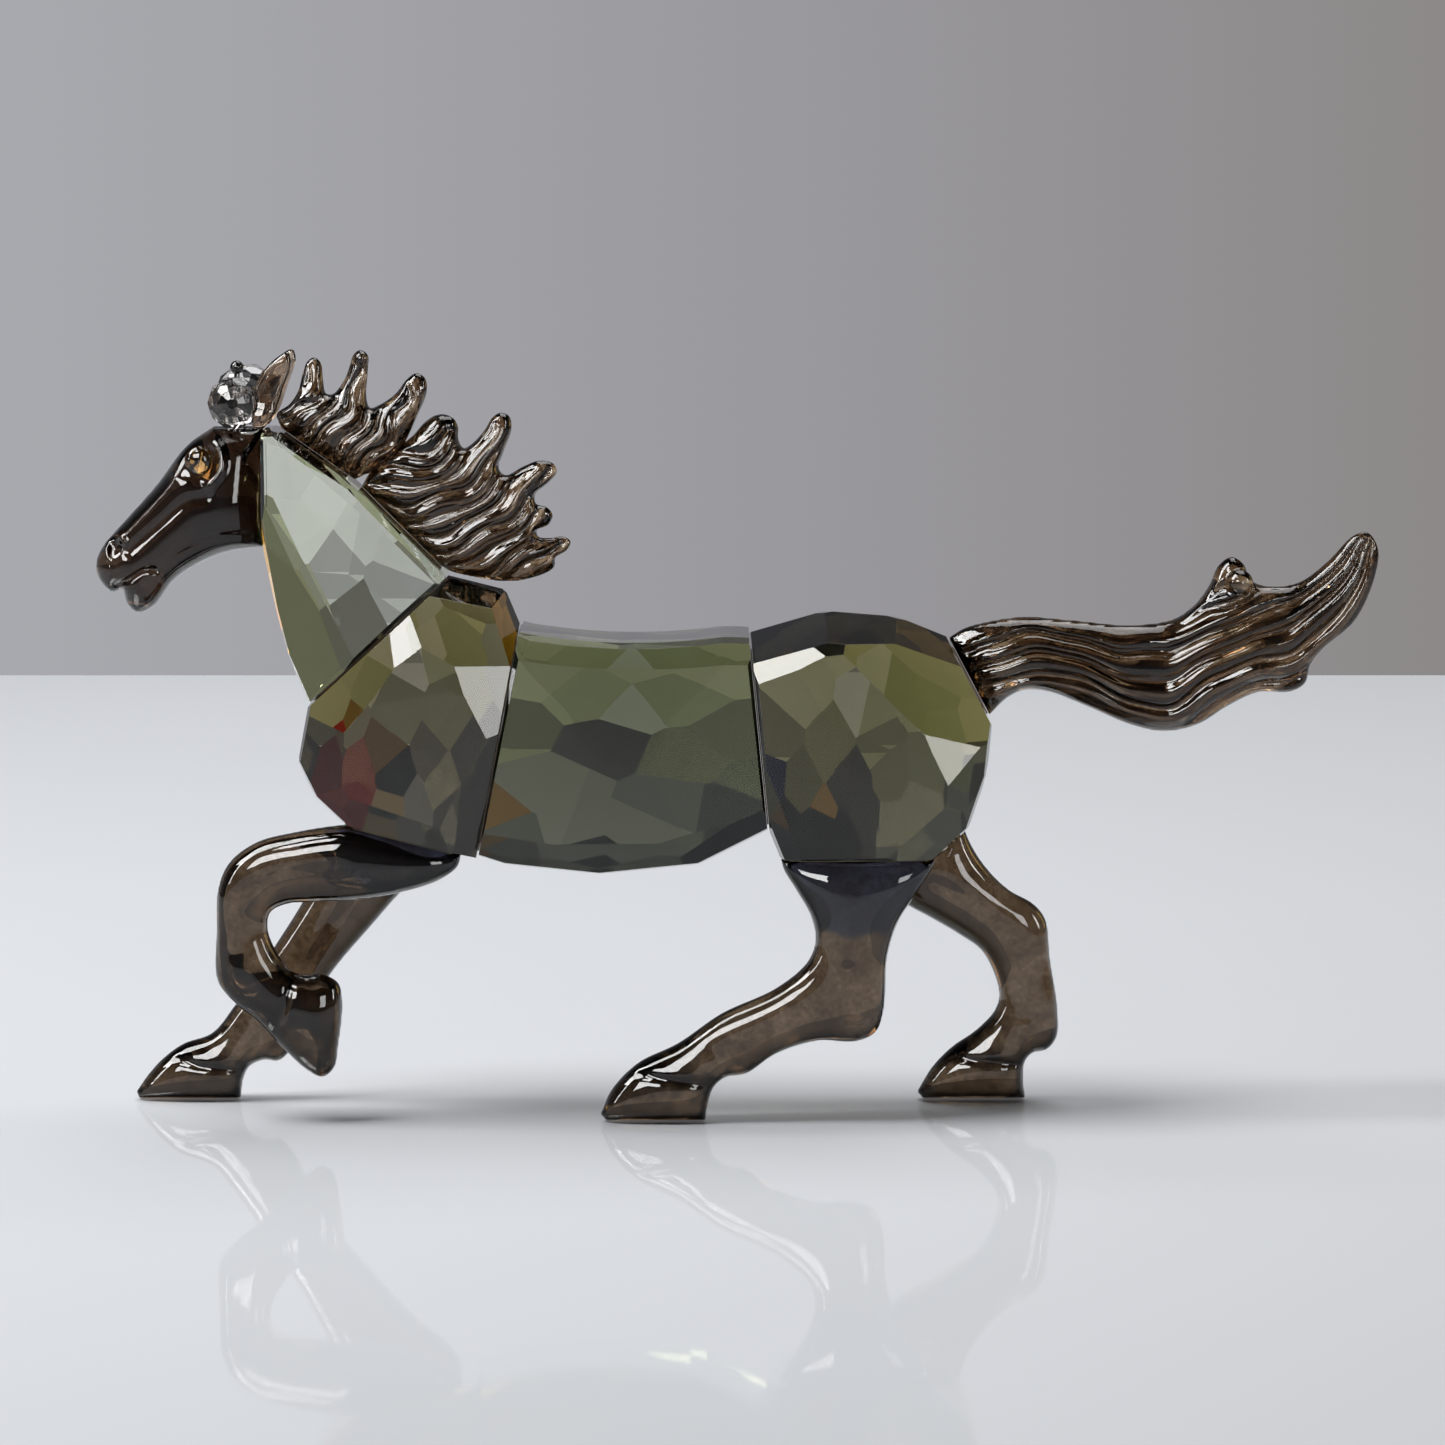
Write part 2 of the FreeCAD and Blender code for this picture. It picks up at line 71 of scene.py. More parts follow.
# How the crystals are cut: the bevel at a glued face, the steep row of facets round the outline, the row
# of crown facets inside it with kites at the corners, the flat on each corner, the tilt of a roof facet,
# the saddle's hollow, the spread of the tints and the width of a polished edge
SEAM_BEVEL = 0.7
GIRDLE_INSET, GIRDLE_DROP = 0.9, 5
CROWN_DROP, KITE_DROP = 2.2, 1.5
CORNER_FLAT = 0.22
ROOF_SLOPE = 0.22
SADDLE_RADIUS, SADDLE_SAG, SADDLE_DEPTH = 88, 1.3, 12
TINT_SPREAD, EDGE_WIDTH = 0.14, 0.1


# ---------------------------------------------------------------- small helpers
def shifted(a, b, gap):
    """The line from a to b moved sideways by the gap, to the left of its direction."""
    length = math.dist(a, b)
    side = (-(b[1] - a[1]) / length * gap, (b[0] - a[0]) / length * gap)
    return (a[0] + side[0], a[1] + side[1]), (b[0] + side[0], b[1] + side[1])


def at_x(a, b, x):
    """The point of the line through a and b at this X."""
    return (x, a[1] + (b[1] - a[1]) * (x - a[0]) / (b[0] - a[0]))


def along(a, b, distance):
    """The point of the line from a to b at this distance from a."""
    share = distance / math.dist(a, b)
    return (a[0] + (b[0] - a[0]) * share, a[1] + (b[1] - a[1]) * share)


def piece(name, bm, material, nodes, smooth=True, marks=None):
    """A finished mesh, given in millimetres, as a piece that stands for its CAD nodes. marks gives
    the tint of its glass at a point."""
    bmesh.ops.recalc_face_normals(bm, faces=bm.faces)
    if marks:
        layer = bm.loops.layers.color.new("marks")
        tints = {}
        for face in bm.faces:
            for loop in face.loops:
                if loop.vert not in tints:
                    tints[loop.vert] = marks(loop.vert.co)
                loop[layer] = tints[loop.vert]
    mesh = bpy.data.meshes.new(name)
    bm.to_mesh(mesh)
    bm.free()
    mesh.transform(Matrix.Scale(MM, 4))
    mesh.polygons.foreach_set("use_smooth", [smooth] * len(mesh.polygons))
    mesh.materials.append(material)
    obj = bpy.data.objects.new(name, mesh)
    bpy.context.scene.collection.objects.link(obj)
    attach(obj, "root")
    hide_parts(*nodes)


def step_between(value, low, high):
    """A soft step from 0 at low to 1 at high."""
    t = np.clip((value - low) / (high - low), 0, 1)
    return t * t * (3 - 2 * t)


# ---------------------------------------------------------------- materials
def node(tree, kind, **values):
    """A shader node, with its inputs and settings given by name."""
    made = tree.nodes.new(kind)
    for key, value in values.items():
        if key in made.inputs:
            made.inputs[key].default_value = value
        else:
            setattr(made, key, value)
    return made


def ramp(tree, source, stops):
    """A colour ramp over a value, from (position, colour) stops."""
    made = tree.nodes.new("ShaderNodeValToRGB")
    elements = made.color_ramp.elements
    while len(elements) < len(stops):
        elements.new(0.5)
    for element, (place, colour) in zip(elements, stops):
        element.position = place
        element.color = colour if len(colour) == 4 else (*colour, 1)
    tree.links.new(source, made.inputs["Fac"])
    return made.outputs["Color"]


def multiply(tree, first, second):
    """The product of two colours."""
    mix = node(tree, "ShaderNodeMix", data_type="RGBA", blend_type="MULTIPLY")
    mix.inputs["Factor"].default_value = 1.0
    tree.links.new(first, mix.inputs[6])
    tree.links.new(second, mix.inputs[7])
    return mix.outputs[2]


def glass(name, tint, second, absorb, density, ior=1.55, smear=0.02, wave=0.0, mottle=60.0,
          grain=0.0, marks=None, rim=None, fade=None):
    """Solid glass, tinted all through. Clouds of a second tint and a finer grain lie in it, handling
    smears roughen it a little, and moulded glass has the shallow waves of a fire-polished surface.
    marks names a colour attribute that tints it from place to place, rim is the painted shade where it is
    seen edge on, which darkens it towards its outline, and fade gives the heights between which it darkens,
    and the tint there."""
    material = bpy.data.materials.new(name)
    material.use_nodes = True
    tree = material.node_tree
    shader = tree.nodes["Principled BSDF"]
    shader.inputs["Transmission Weight"].default_value = 1.0
    shader.inputs["IOR"].default_value = ior
    place = node(tree, "ShaderNodeTexCoord").outputs["Object"]

    cloud = node(tree, "ShaderNodeTexNoise", Scale=mottle, Detail=5.0, Roughness=0.6, Distortion=0.8)
    tree.links.new(place, cloud.inputs["Vector"])
    colour = ramp(tree, cloud.outputs["Fac"], [(0.40, tint), (0.60, second)])
    if grain:
        speck = node(tree, "ShaderNodeTexNoise", Scale=1500.0, Detail=2.0, Roughness=0.6)
        tree.links.new(place, speck.inputs["Vector"])
        low = 1 - grain
        specks = ramp(tree, speck.outputs["Fac"], [(0.38, (low, low, low)), (0.62, (1, 1, 1))])
        colour = multiply(tree, colour, specks)
    if marks:
        painted = node(tree, "ShaderNodeAttribute", attribute_name=marks)
        colour = multiply(tree, colour, painted.outputs["Color"])
    if rim:
        # Painted shade: the glass darkens to the rim tint where it is seen edge on
        facing = node(tree, "ShaderNodeLayerWeight", Blend=0.5)
        edges = ramp(tree, facing.outputs["Facing"], [(0.56, (1, 1, 1)), (0.88, rim)])
        colour = multiply(tree, colour, edges)
    if fade:
        parts = node(tree, "ShaderNodeSeparateXYZ")
        tree.links.new(place, parts.inputs[0])
        span = node(tree, "ShaderNodeMapRange")
        span.inputs["From Min"].default_value = fade[0] * MM
        span.inputs["From Max"].default_value = fade[1] * MM
        tree.links.new(parts.outputs["Z"], span.inputs["Value"])
        colour = multiply(tree, colour, ramp(tree, span.outputs[0], [(0.0, (1, 1, 1)), (1.0, fade[2])]))
    tree.links.new(colour, shader.inputs["Base Color"])

    shader.inputs["Roughness"].default_value = 0.0
    if smear:
        wipe = node(tree, "ShaderNodeTexNoise", Scale=90.0, Detail=4.0, Roughness=0.7)
        tree.links.new(place, wipe.inputs["Vector"])
        rough = ramp(tree, wipe.outputs["Fac"], [(0.50, (0.0, 0.0, 0.0)), (0.80, (smear, smear, smear))])
        tree.links.new(rough, shader.inputs["Roughness"])

    if wave:
        swell = node(tree, "ShaderNodeTexNoise", Scale=120.0, Detail=2.0, Roughness=0.45)
        tree.links.new(place, swell.inputs["Vector"])
        bump = node(tree, "ShaderNodeBump", Strength=wave, Distance=0.001)
        tree.links.new(swell.outputs["Fac"], bump.inputs["Height"])
        tree.links.new(bump.outputs["Normal"], shader.inputs["Normal"])

    if density:
        inside = node(tree, "ShaderNodeVolumeAbsorption", Color=(*absorb, 1), Density=density)
        tree.links.new(inside.outputs["Volume"], tree.nodes["Material Output"].inputs["Volume"])
    return material


# ---------------------------------------------------------------- cut crystals
def grind(bm, point, normal):
    """Grind away everything beyond the plane through the point."""
    cut = bmesh.ops.bisect_plane(bm, geom=bm.verts[:] + bm.edges[:] + bm.faces[:], dist=1e-5,
                                 plane_co=point, plane_no=normal, clear_outer=True)
    rim = [e for e in cut["geom_cut"] if isinstance(e, bmesh.types.BMEdge)]
    if len(rim) > 2:
        bmesh.ops.contextual_create(bm, geom=rim)


def prism(outline, half):
    """The slab between two copies of a side outline."""
    bm = bmesh.new()
    left = [bm.verts.new((x, -half, z)) for x, z in outline]
    right = [bm.verts.new((x, half, z)) for x, z in outline]
    bm.faces.new(left)
    bm.faces.new(right[::-1])
    for i in range(len(outline)):
        j = (i + 1) % len(outline)
        bm.faces.new((left[i], right[i], right[j], left[j]))
    return bm


def hollow_top(bm, a, b, radius, sag):
    """Polish a shallow round hollow across the edge from a to b."""
    middle = (a[0] + b[0]) / 2
    floor = (a[1] + b[1]) / 2 - sag
    cuts = [a[0] + (b[0] - a[0]) * i / 24 for i in range(1, 24)]
    for x in cuts:
        bmesh.ops.bisect_plane(bm, geom=bm.verts[:] + bm.edges[:] + bm.faces[:], dist=1e-5,
                               plane_co=(x, 0, 0), plane_no=(1, 0, 0))
    for vert in bm.verts:
        if a[0] < vert.co.x < b[0]:
            line = a[1] + (b[1] - a[1]) * (vert.co.x - a[0]) / (b[0] - a[0])
            dip = line - (floor + (vert.co.x - middle) ** 2 / (2 * radius))
            if dip > 0 and vert.co.z > line - SADDLE_DEPTH:
                vert.co.z -= dip * step_between(vert.co.z, line - SADDLE_DEPTH, line)


def cut_crystal(outline, depth, seats, roofs, inset, crown, front, back, rims):
    """A crystal ground from a slab, facet by facet, and the tint of each facet's plane. The tints are painted
    reflections, painted shade and painted flashes of fire. The bevel at each glued edge is painted black as
    shade along the joint.

    The seats are the glued edges. The edges in roofs slope away from a ridge along the middle. inset is how
    far the crown facets reach in, and crown gives their tints along the outline. front and back give, for
    the two sides, how fast the side falls away along x and along z, the point it falls away from, and the
    middles of its flats with their tints. Each rim is a line on the side, the slope of the facet that falls
    away to the left of it, and its tint."""
    half = depth / 2
    count = len(outline)
    lines = [(outline[i], outline[(i + 1) % count]) for i in range(count)]
    normals = []
    for a, b in lines:
        tip = shifted(a, b, 1)[0]
        normals.append(Vector((tip[0] - a[0], 0, tip[1] - a[1])))
    bm = prism(outline, half)
    planes = []
    rng = np.random.default_rng(count)

    def facet(point, normal, tint):
        grind(bm, point, normal)
        planes.append((Vector(point), Vector(normal).normalized(), PAINTED_FACET_TINTS[tint]))

    for i in seats:
        facet(Vector((outline[i][0], 0, outline[i][1])) - normals[i] * AIR, normals[i], "w")
    for i, (x, z) in enumerate(outline):
        if i not in seats and (i - 1) % count not in seats:
            bisector = (normals[i] + normals[i - 1]).normalized()
            facet(Vector((x, 0, z)) - bisector * CORNER_FLAT, bisector, "w")
    for side, ((fall_x, fall_z), (cx, cz), middles) in ((-1, front), (1, back)):
        out = Vector((0, side, 0))
        for i, (x, z) in enumerate(outline):
            rim = Vector((x, 0, z))
            if i in seats:
                # The bevel at a glued face is tinted black: painted shade along the joint
                facet(rim + out * (half - SEAM_BEVEL), normals[i] + out, "k")
                continue
            if i in roofs:
                facet(rim, normals[i] + out * ROOF_SLOPE, crown[i])
            facet(rim + out * (half - GIRDLE_DROP), normals[i] * GIRDLE_DROP + out * GIRDLE_INSET, crown[i])
            facet(rim + out * (half - CROWN_DROP), normals[i] * CROWN_DROP + out * inset, crown[i])
            if (i - 1) % count not in seats:
                bisector = (normals[i] + normals[i - 1]).normalized()
                point = rim - bisector * (inset * 0.55) + out * (half - KITE_DROP * 0.8)
                facet(point, bisector * KITE_DROP + out * inset * 1.2, crown[i])
        for a, b, slope, tint in rims:
            tip = shifted(a, b, 1)[0]
            away = Vector((tip[0] - a[0], 0, tip[1] - a[1]))
            facet(Vector((a[0], side * half, a[1])), away * slope + out, tint)
        for x, z, tint in middles:
            dx, dz = x - cx, z - cz
            point = Vector((x, side * (half - fall_x * dx * dx - fall_z * dz * dz), z))
            lean_x, lean_z = (rng.random(2) - 0.5) * 8
            facet(point, Vector((fall_x * (2 * dx + lean_x), side, fall_z * (2 * dz + lean_z))), tint)
    return bm, planes


def paint_facet_light(bm, planes, spread):
    """A colour attribute that holds each facet's tint, the reflection, shade and fire painted on it, with a
    little chance in it.
    """
    bmesh.ops.recalc_face_normals(bm, faces=bm.faces)
    layer = bm.loops.layers.color.new("facet")
    rng = np.random.default_rng(7)
    for face in bm.faces:
        spot = face.calc_center_median()
        tint = (1, 1, 1)
        for point, normal, colour in planes:
            if face.normal.dot(normal) > 0.99995 and abs((spot - point).dot(normal)) < 0.02:
                tint = colour
        level = 1 - spread * rng.random()
        for loop in face.loops:
            loop[layer] = (*(level * c for c in tint), 1)


def polish_edges(bm, width):
    """The hairline flats left where two facets meet."""
    sharp = [e for e in bm.edges if e.calc_face_angle(0) > math.radians(2)]
    bmesh.ops.bevel(bm, geom=sharp, offset=width, segments=1, profile=0.5, affect="EDGES",
                    clamp_overlap=True)


shoulder = [(-59.5, 57.9), (-40.4, 75.4), (-32.4, 73.4), (-30.4, 68.6), (-36.2, 37.0), (-54.8, 41.8),
            (-58.6, 45.4), (-60.9, 50.3)]
neck_low, neck_high = shifted(shoulder[0], shoulder[1], GLUE_GAP)
barrel_high, barrel_low = shifted(shoulder[3], shoulder[4], GLUE_GAP)
neck = [(-65.8, 96.0), (-64.0, 96.0), (-53.4, 88.5), neck_high, neck_low, (-62.6, 64.9), (-64.3, 71.5),
        (-65.8, 79.4)]
barrel = [barrel_high, (1.6, 67.4), (4.2, 40.6), (-5.4, 35.8), (-19.2, 34.4), (-32.4, 35.8), barrel_low]
rump_high, rump_low = shifted(barrel[1], barrel[2], GLUE_GAP)
rump = [rump_high, (12.1, 70.4), (22.3, 69.6), (29.2, 66.8), (35.2, 55.4), (34.5, 48.4), (32.0, 41.0),
        (27.6, 36.9), (5.9, 36.9), rump_low]

# Tints of the facets, which are painted reflections, painted shade and painted flashes of fire: white, olive,
# moss, grey, dark, black, amber, tan, slate, navy, red and brown
PAINTED_FACET_TINTS = {"w": (1, 1, 1), "o": (0.92, 0.90, 0.70), "m": (0.74, 0.76, 0.56), "g": (0.62, 0.64, 0.66),
         "d": (0.28, 0.28, 0.29), "k": (0.05, 0.05, 0.06), "a": (0.98, 0.58, 0.08), "t": (0.85, 0.70, 0.45),
         "s": (0.40, 0.38, 0.33), "n": (0.02, 0.07, 0.36), "r": (0.75, 0.04, 0.01), "b": (0.55, 0.34, 0.10)}
OLIVE = glass("olive_crystal", (0.99, 0.98, 0.95), (0.94, 0.94, 0.90), (0.47, 0.43, 0.28), 78, smear=0,
              marks="facet")
GREEN = glass("green_grey_crystal", (0.98, 0.99, 0.95), (0.94, 0.95, 0.90), (0.45, 0.47, 0.31), 97, smear=0,
              marks="facet")
STRAW = glass("straw_grey_crystal", (0.99, 0.98, 0.94), (0.94, 0.94, 0.90), (0.48, 0.46, 0.29), 84, smear=0,
              marks="facet")
# The neck's glass is a paler copy that absorbs far less: painted light for the brightness the neck catches
PALE = glass("pale_crystal", (0.99, 0.99, 0.96), (0.95, 0.96, 0.92), (0.46, 0.54, 0.26), 20, smear=0,
              marks="facet")
crystals = {
    "neck_crystal": (
        neck, NECK_DEPTH, (3, 7), (), PALE, 1.3, "wwwwgatw",
        ((0.0012, 0.0012), (-55, 80), [
            (-58, 84, "w"), (-50, 78, "w"), (-57, 73, "w")]),
        ((0.0075, 0.0045), (-64, 68), [
            (-52, 82, "w"), (-46, 79, "w"), (-57, 88, "w"), (-55, 77, "w"), (-50, 74, "w"),
            (-60, 81, "w"), (-61, 89, "w"), (-55, 71, "s"), (-60, 73, "o"), (-62.5, 80, "m")]),
        [((-53.4, 67.0), (-64.8, 86.4), 0.22, "m"), ((-58.6, 61.0), (-65.4, 78.0), 0.62, "t")]),
    "shoulder_crystal": (
        shoulder, SHOULDER_DEPTH, (0, 3, 4), (1, 2), OLIVE, 3.2, "wkawwrtg",
        ((0.0014, 0.0014), (-45, 58), [
            (-45, 60, "w"), (-51, 53, "w"), (-39, 53, "w"), (-43, 47, "w"), (-38, 67, "w")]),
        ((0.0125, 0.0045), (-46, 62), [
            (-46, 58, "m"), (-40, 70, "o"), (-34, 69, "o"), (-51, 63, "o"), (-43, 64, "m"),
            (-35, 62, "g"), (-55, 56, "o"), (-39, 56, "m"), (-57, 50, "d"), (-50, 49, "b"),
            (-43, 52, "s"), (-37, 51, "d"), (-47, 46.5, "k"), (-41, 47, "d"), (-36, 45, "g"),
            (-55, 45, "r"), (-51, 43.5, "t"), (-46, 42.5, "g"), (-40, 42, "d")]),
        [((-54.2, 46.0), (-53.8, 58.8), 0.42, "g"), ((-47.4, 63.4), (-40.6, 68.3), 0.32, "w"),
         ((-54.0, 54.5), (-48.0, 62.5), 0.40, "o"), ((-38.8, 62.5), (-35.0, 53.1), 0.27, "w"),
         ((-34.5, 55.0), (-39.0, 47.0), 0.42, "g"), ((-42.0, 65.5), (-31.0, 59.0), 0.50, "o"),
         ((-42.0, 42.6), (-54.2, 46.3), 0.40, "g")]),
    "barrel_crystal": (
        barrel, BARREL_DEPTH, (1, 6), (), GREEN, 3.6, "wwdgggw",
        ((0.0010, 0.0010), (-15, 55), [
            (-15, 58, "w"), (-27, 50, "w"), (-16, 44, "w"), (-4, 50, "w")]),
        ((0.0040, 0.0100), (-15, 56), [
            (-14, 64, "o"), (-27, 62, "o"), (-3, 62, "o"), (-31, 54, "m"), (-23, 57, "m"), (-9, 56, "m"),
            (0, 54, "m"), (-26, 47, "w"), (-16.5, 51.5, "d"), (-7, 48, "s"), (2, 46, "d"), (-34, 42, "a"),
            (-30, 40, "g"), (-24, 41, "w"), (-20, 37.5, "k"), (-15, 41, "w"), (-9, 41.5, "g"),
            (-1, 41, "d")]),
        [((-8.0, 38.4), (-23.0, 37.4), 0.60, "k"), ((3.8, 44.6), (-11.0, 38.0), 0.60, "k")]),
    "rump_crystal": (
        rump, RUMP_DEPTH, (3, 7, 9), (0, 1, 2), STRAW, 3.4, "kkbwogdwgw",
        ((0.0014, 0.0014), (18, 54), [
            (17, 57, "w"), (8, 52, "w"), (26, 58, "w"), (22, 48, "w"), (12, 44, "w")]),
        ((0.0110, 0.0048), (18, 57), [
            (18, 57, "m"), (7, 65, "o"), (14, 66, "o"), (22, 65, "o"), (28, 62, "g"), (10, 58, "o"),
            (26, 56, "m"), (6, 53, "o"), (14, 50, "m"), (21, 51, "m"), (27, 49, "m"), (31, 52, "o"),
            (6, 47.5, "n"), (10.5, 46.5, "m"), (16, 45.5, "d"), (21, 46, "m"), (7.5, 42.5, "k"),
            (12, 42, "a"), (17, 41, "d"), (22, 41.5, "g"), (26, 43, "g"), (31, 44, "d"), (10, 38.5, "k"),
            (16, 38, "k"), (23, 38, "g")]),
        [((2.4, 60.6), (9.6, 64.0), 0.28, "w"), ((9.4, 66.6), (20.0, 66.6), 0.50, "k"),
         ((29.4, 60.0), (29.0, 53.8), 0.40, "g"), ((26.2, 52.6), (29.7, 44.1), 0.27, "w"),
         ((21.0, 59.0), (29.5, 50.5), 0.42, "o"), ((27.0, 43.6), (21.6, 38.8), 0.42, "g"),
         ((8.0, 38.4), (3.6, 49.4), 0.40, "n")]),
}
for name, (outline, depth, seats, roofs, material, inset, crown, front, back, rims) in crystals.items():
    bm, planes = cut_crystal(outline, depth, seats, roofs, inset, crown, front, back, rims)
    paint_facet_light(bm, planes, TINT_SPREAD)
    polish_edges(bm, EDGE_WIDTH)
    if name == "barrel_crystal":
        hollow_top(bm, outline[0], outline[1], SADDLE_RADIUS, SADDLE_SAG)
    piece(name + "_cut", bm, material, [name], smooth=False)


# ---------------------------------------------------------------- moulded glass
def smooth_run(points, steps=8):
    """Points along a smooth curve through the given ones, without the last. Two points stay a line."""
    if len(points) == 2:
        return [points[0]]
    line = np.array([points[0]] + list(points) + [points[-1]], float)
    line[0] = 2 * line[1] - line[2]
    line[-1] = 2 * line[-2] - line[-3]
    found = []
    for i in range(1, len(line) - 2):
        p0, p1, p2, p3 = line[i - 1:i + 3]
        t0, t1 = 0.0, math.sqrt(np.linalg.norm(p1 - p0))
        t2 = t1 + math.sqrt(np.linalg.norm(p2 - p1))
        t3 = t2 + math.sqrt(np.linalg.norm(p3 - p2))
        for t in np.linspace(t1, t2, steps, endpoint=False):
            a1 = (t1 - t) / (t1 - t0) * p0 + (t - t0) / (t1 - t0) * p1
            a2 = (t2 - t) / (t2 - t1) * p1 + (t - t1) / (t2 - t1) * p2
            a3 = (t3 - t) / (t3 - t2) * p2 + (t - t2) / (t3 - t2) * p3
            b1 = (t2 - t) / (t2 - t0) * a1 + (t - t0) / (t2 - t0) * a2
            b2 = (t3 - t) / (t3 - t1) * a2 + (t - t1) / (t3 - t1) * a3
            found.append((t2 - t) / (t2 - t1) * b1 + (t - t1) / (t2 - t1) * b2)
    return [tuple(p) for p in found]


def distance_to(points, X, Z, closed):
    """Distance from each grid point to a polyline."""
    a = np.array(points, float)
    b = np.roll(a, -1, axis=0) if closed else a[1:]
    a = a if closed else a[:-1]
    best = np.full(X.shape, 1e9)
    for (ax, az), (bx, bz) in zip(a, b):
        dx, dz = bx - ax, bz - az
        t = np.clip(((X - ax) * dx + (Z - az) * dz) / max(dx * dx + dz * dz, 1e-12), 0, 1)
        best = np.minimum(best, (X - ax - t * dx) ** 2 + (Z - az - t * dz) ** 2)
    return np.sqrt(best)


def is_inside(points, X, Z):
    """Whether each grid point lies inside the closed outline."""
    found = np.zeros(X.shape, bool)
    for i in range(len(points)):
        (ax, az), (bx, bz) = points[i - 1], points[i]
        if az == bz:
            continue
        crosses = ((az > Z) != (bz > Z)) & (X < (bx - ax) * (Z - az) / (bz - az) + ax)
        found ^= crosses
    return found


# Tints of drawn glass, from the dark streaks to the cream ones
STRANDS = ((0.05, 0.045, 0.045), (0.49, 0.39, 0.30), (1.0, 0.98, 0.93))


class Moulding:
    """A moulded piece blown up from its side outline. Over the plane of the outline it keeps the
    signed distance to the edge and a soft swelling that is flat in the middle and falls to the edge."""

    def __init__(self, runs, softness, step=0.2):
        self.outline = [p for run in runs for p in smooth_run(run)]
        spots = np.array(self.outline)
        self.step = step
        self.low = spots.min(0) - 4 * step
        counts = np.ceil((spots.max(0) + 4 * step - self.low) / step).astype(int) + 1
        self.xs = self.low[0] + step * np.arange(counts[0])
        self.zs = self.low[1] + step * np.arange(counts[1])
        self.X, self.Z = np.meshgrid(self.xs, self.zs, indexing="ij")
        inside = is_inside(self.outline, self.X, self.Z)
        self.edge = distance_to(self.outline, self.X, self.Z, True) * np.where(inside, 1, -1)
        pull = (step / softness) ** 2
        swell = np.where(inside, 0.5, 0.0)
        for _ in range(int(60 * softness / step)):
            around = (np.roll(swell, 1, 0) + np.roll(swell, -1, 0)
                      + np.roll(swell, 1, 1) + np.roll(swell, -1, 1))
            swell = np.where(inside, (around + pull) / (4 + pull), 0.0)
        near = step_between(self.edge, 0.3, 0.9)
        slope = swell / np.maximum(self.edge, 0.4 * step)
        slope = np.where(inside & (self.edge > 0.3), slope, 0)
        weight = (slope > 0).astype(float)
        for _ in range(8):
            slope = sum(np.roll(slope, s, a) for s in (1, -1) for a in (0, 1)) + slope
            weight = sum(np.roll(weight, s, a) for s in (1, -1) for a in (0, 1)) + weight
        slope = slope / np.maximum(weight, 1e-9)
        slope = np.where(slope > 0, slope, 1.0 / softness)
        self.swell = near * swell + (1 - near) * slope * self.edge

    def marks(self, level, tints=STRANDS):
        """The tint at a point, from the first to the last of three as the level goes from 0 to 1."""
        def tint(point):
            i = int(np.clip(round((point.x - self.xs[0]) / self.step), 0, len(self.xs) - 1))
            k = int(np.clip(round((point.z - self.zs[0]) / self.step), 0, len(self.zs) - 1))
            share = 2 * float(np.clip(level[i, k], 0, 1))
            first, second = tints[:2] if share < 1 else tints[1:]
            return [p + (q - p) * (share % 1 if share < 2 else 1) for p, q in zip(first, second)] + [1]
        return tint

    def half(self):
        """Half the thickness over the plane, one in the middle and negative outside the outline."""
        return np.sign(self.swell) * np.sqrt(np.abs(self.swell))

    def solid(self, half, middle=0.0, extra=None):
        """The mesh between middle - half and middle + half. extra may add a 3-D field to join on."""
        reach = float(np.max(half)) + float(np.max(np.abs(middle))) + 3 * self.step + 1.0
        ys = np.arange(-reach, reach + self.step, self.step)
        square = np.sign(half) * half * half
        scale = 2 * np.maximum(np.abs(half), 0.6)
        away = ys[None, :, None] - (middle[:, None, :] if isinstance(middle, np.ndarray) else middle)
        field = (away ** 2 - square[:, None, :]) / scale[:, None, :]
        if extra is not None:
            field = extra(field, self.xs[:, None, None], ys[None, :, None], self.zs[None, None, :])
        grid = openvdb.FloatGrid(3.0 * self.step)
        grid.copyFromArray(np.clip(field, -3, 3).astype(np.float32))
        points, quads = grid.convertToQuads(0.0)
        points = points * self.step + np.array([self.xs[0], ys[0], self.zs[0]])
        bm = bmesh.new()
        verts = [bm.verts.new(p) for p in points]
        for quad in quads:
            try:
                bm.faces.new([verts[i] for i in quad])
            except ValueError:
                pass
        return bm


def join(a, b, blend):
    """Smooth union of two fields."""
    h = np.clip(0.5 + 0.5 * (b - a) / blend, 0, 1)
    return b * (1 - h) + a * h - blend * h * (1 - h)


def ball(xs, ys, zs, centre, radius):
    """The field of a ball, negative inside it."""
    x, y, z = centre
    return np.sqrt((xs - x) ** 2 + (ys - y) ** 2 + (zs - z) ** 2) - radius


def profile(values, table):
    """Piecewise smooth half depth from a table of (position, half depth)."""
    at = np.array([p for p, _ in table], float)
    half = np.array([h for _, h in table], float)
    fine = np.linspace(at[0], at[-1], 200)
    shape = np.interp(fine, at, half)
    kernel = np.hanning(31)
    shape = np.convolve(np.pad(shape, 15, mode="edge"), kernel / kernel.sum(), "valid")
    return np.interp(values, fine, shape)


EDGE_ON_SHADE = (0.10, 0.09, 0.09)          # painted shade where moulded glass is seen edge on, a dark outline
SMOKY = glass("smoky_moulded_glass", (0.43, 0.335, 0.245), (0.205, 0.14, 0.09), (0.42, 0.32, 0.18), 250,
              wave=0.15, mottle=140, grain=0.35, marks="marks", rim=EDGE_ON_SHADE)
fore_seat = shifted(*shifted(shoulder[4], shoulder[5], GLUE_GAP), AIR)
hind_seat = shifted(*shifted(rump[7], rump[8], GLUE_GAP), AIR)
haunch_seat = shifted(*shifted(rump[6], rump[7], GLUE_GAP), AIR)

# Tints of a leg, from the smoked hoof to the clear shank and the slate thigh
LEG_TINTS = ((0.16, 0.15, 0.15), (1.0, 1.0, 1.0), (0.52, 0.64, 0.95))


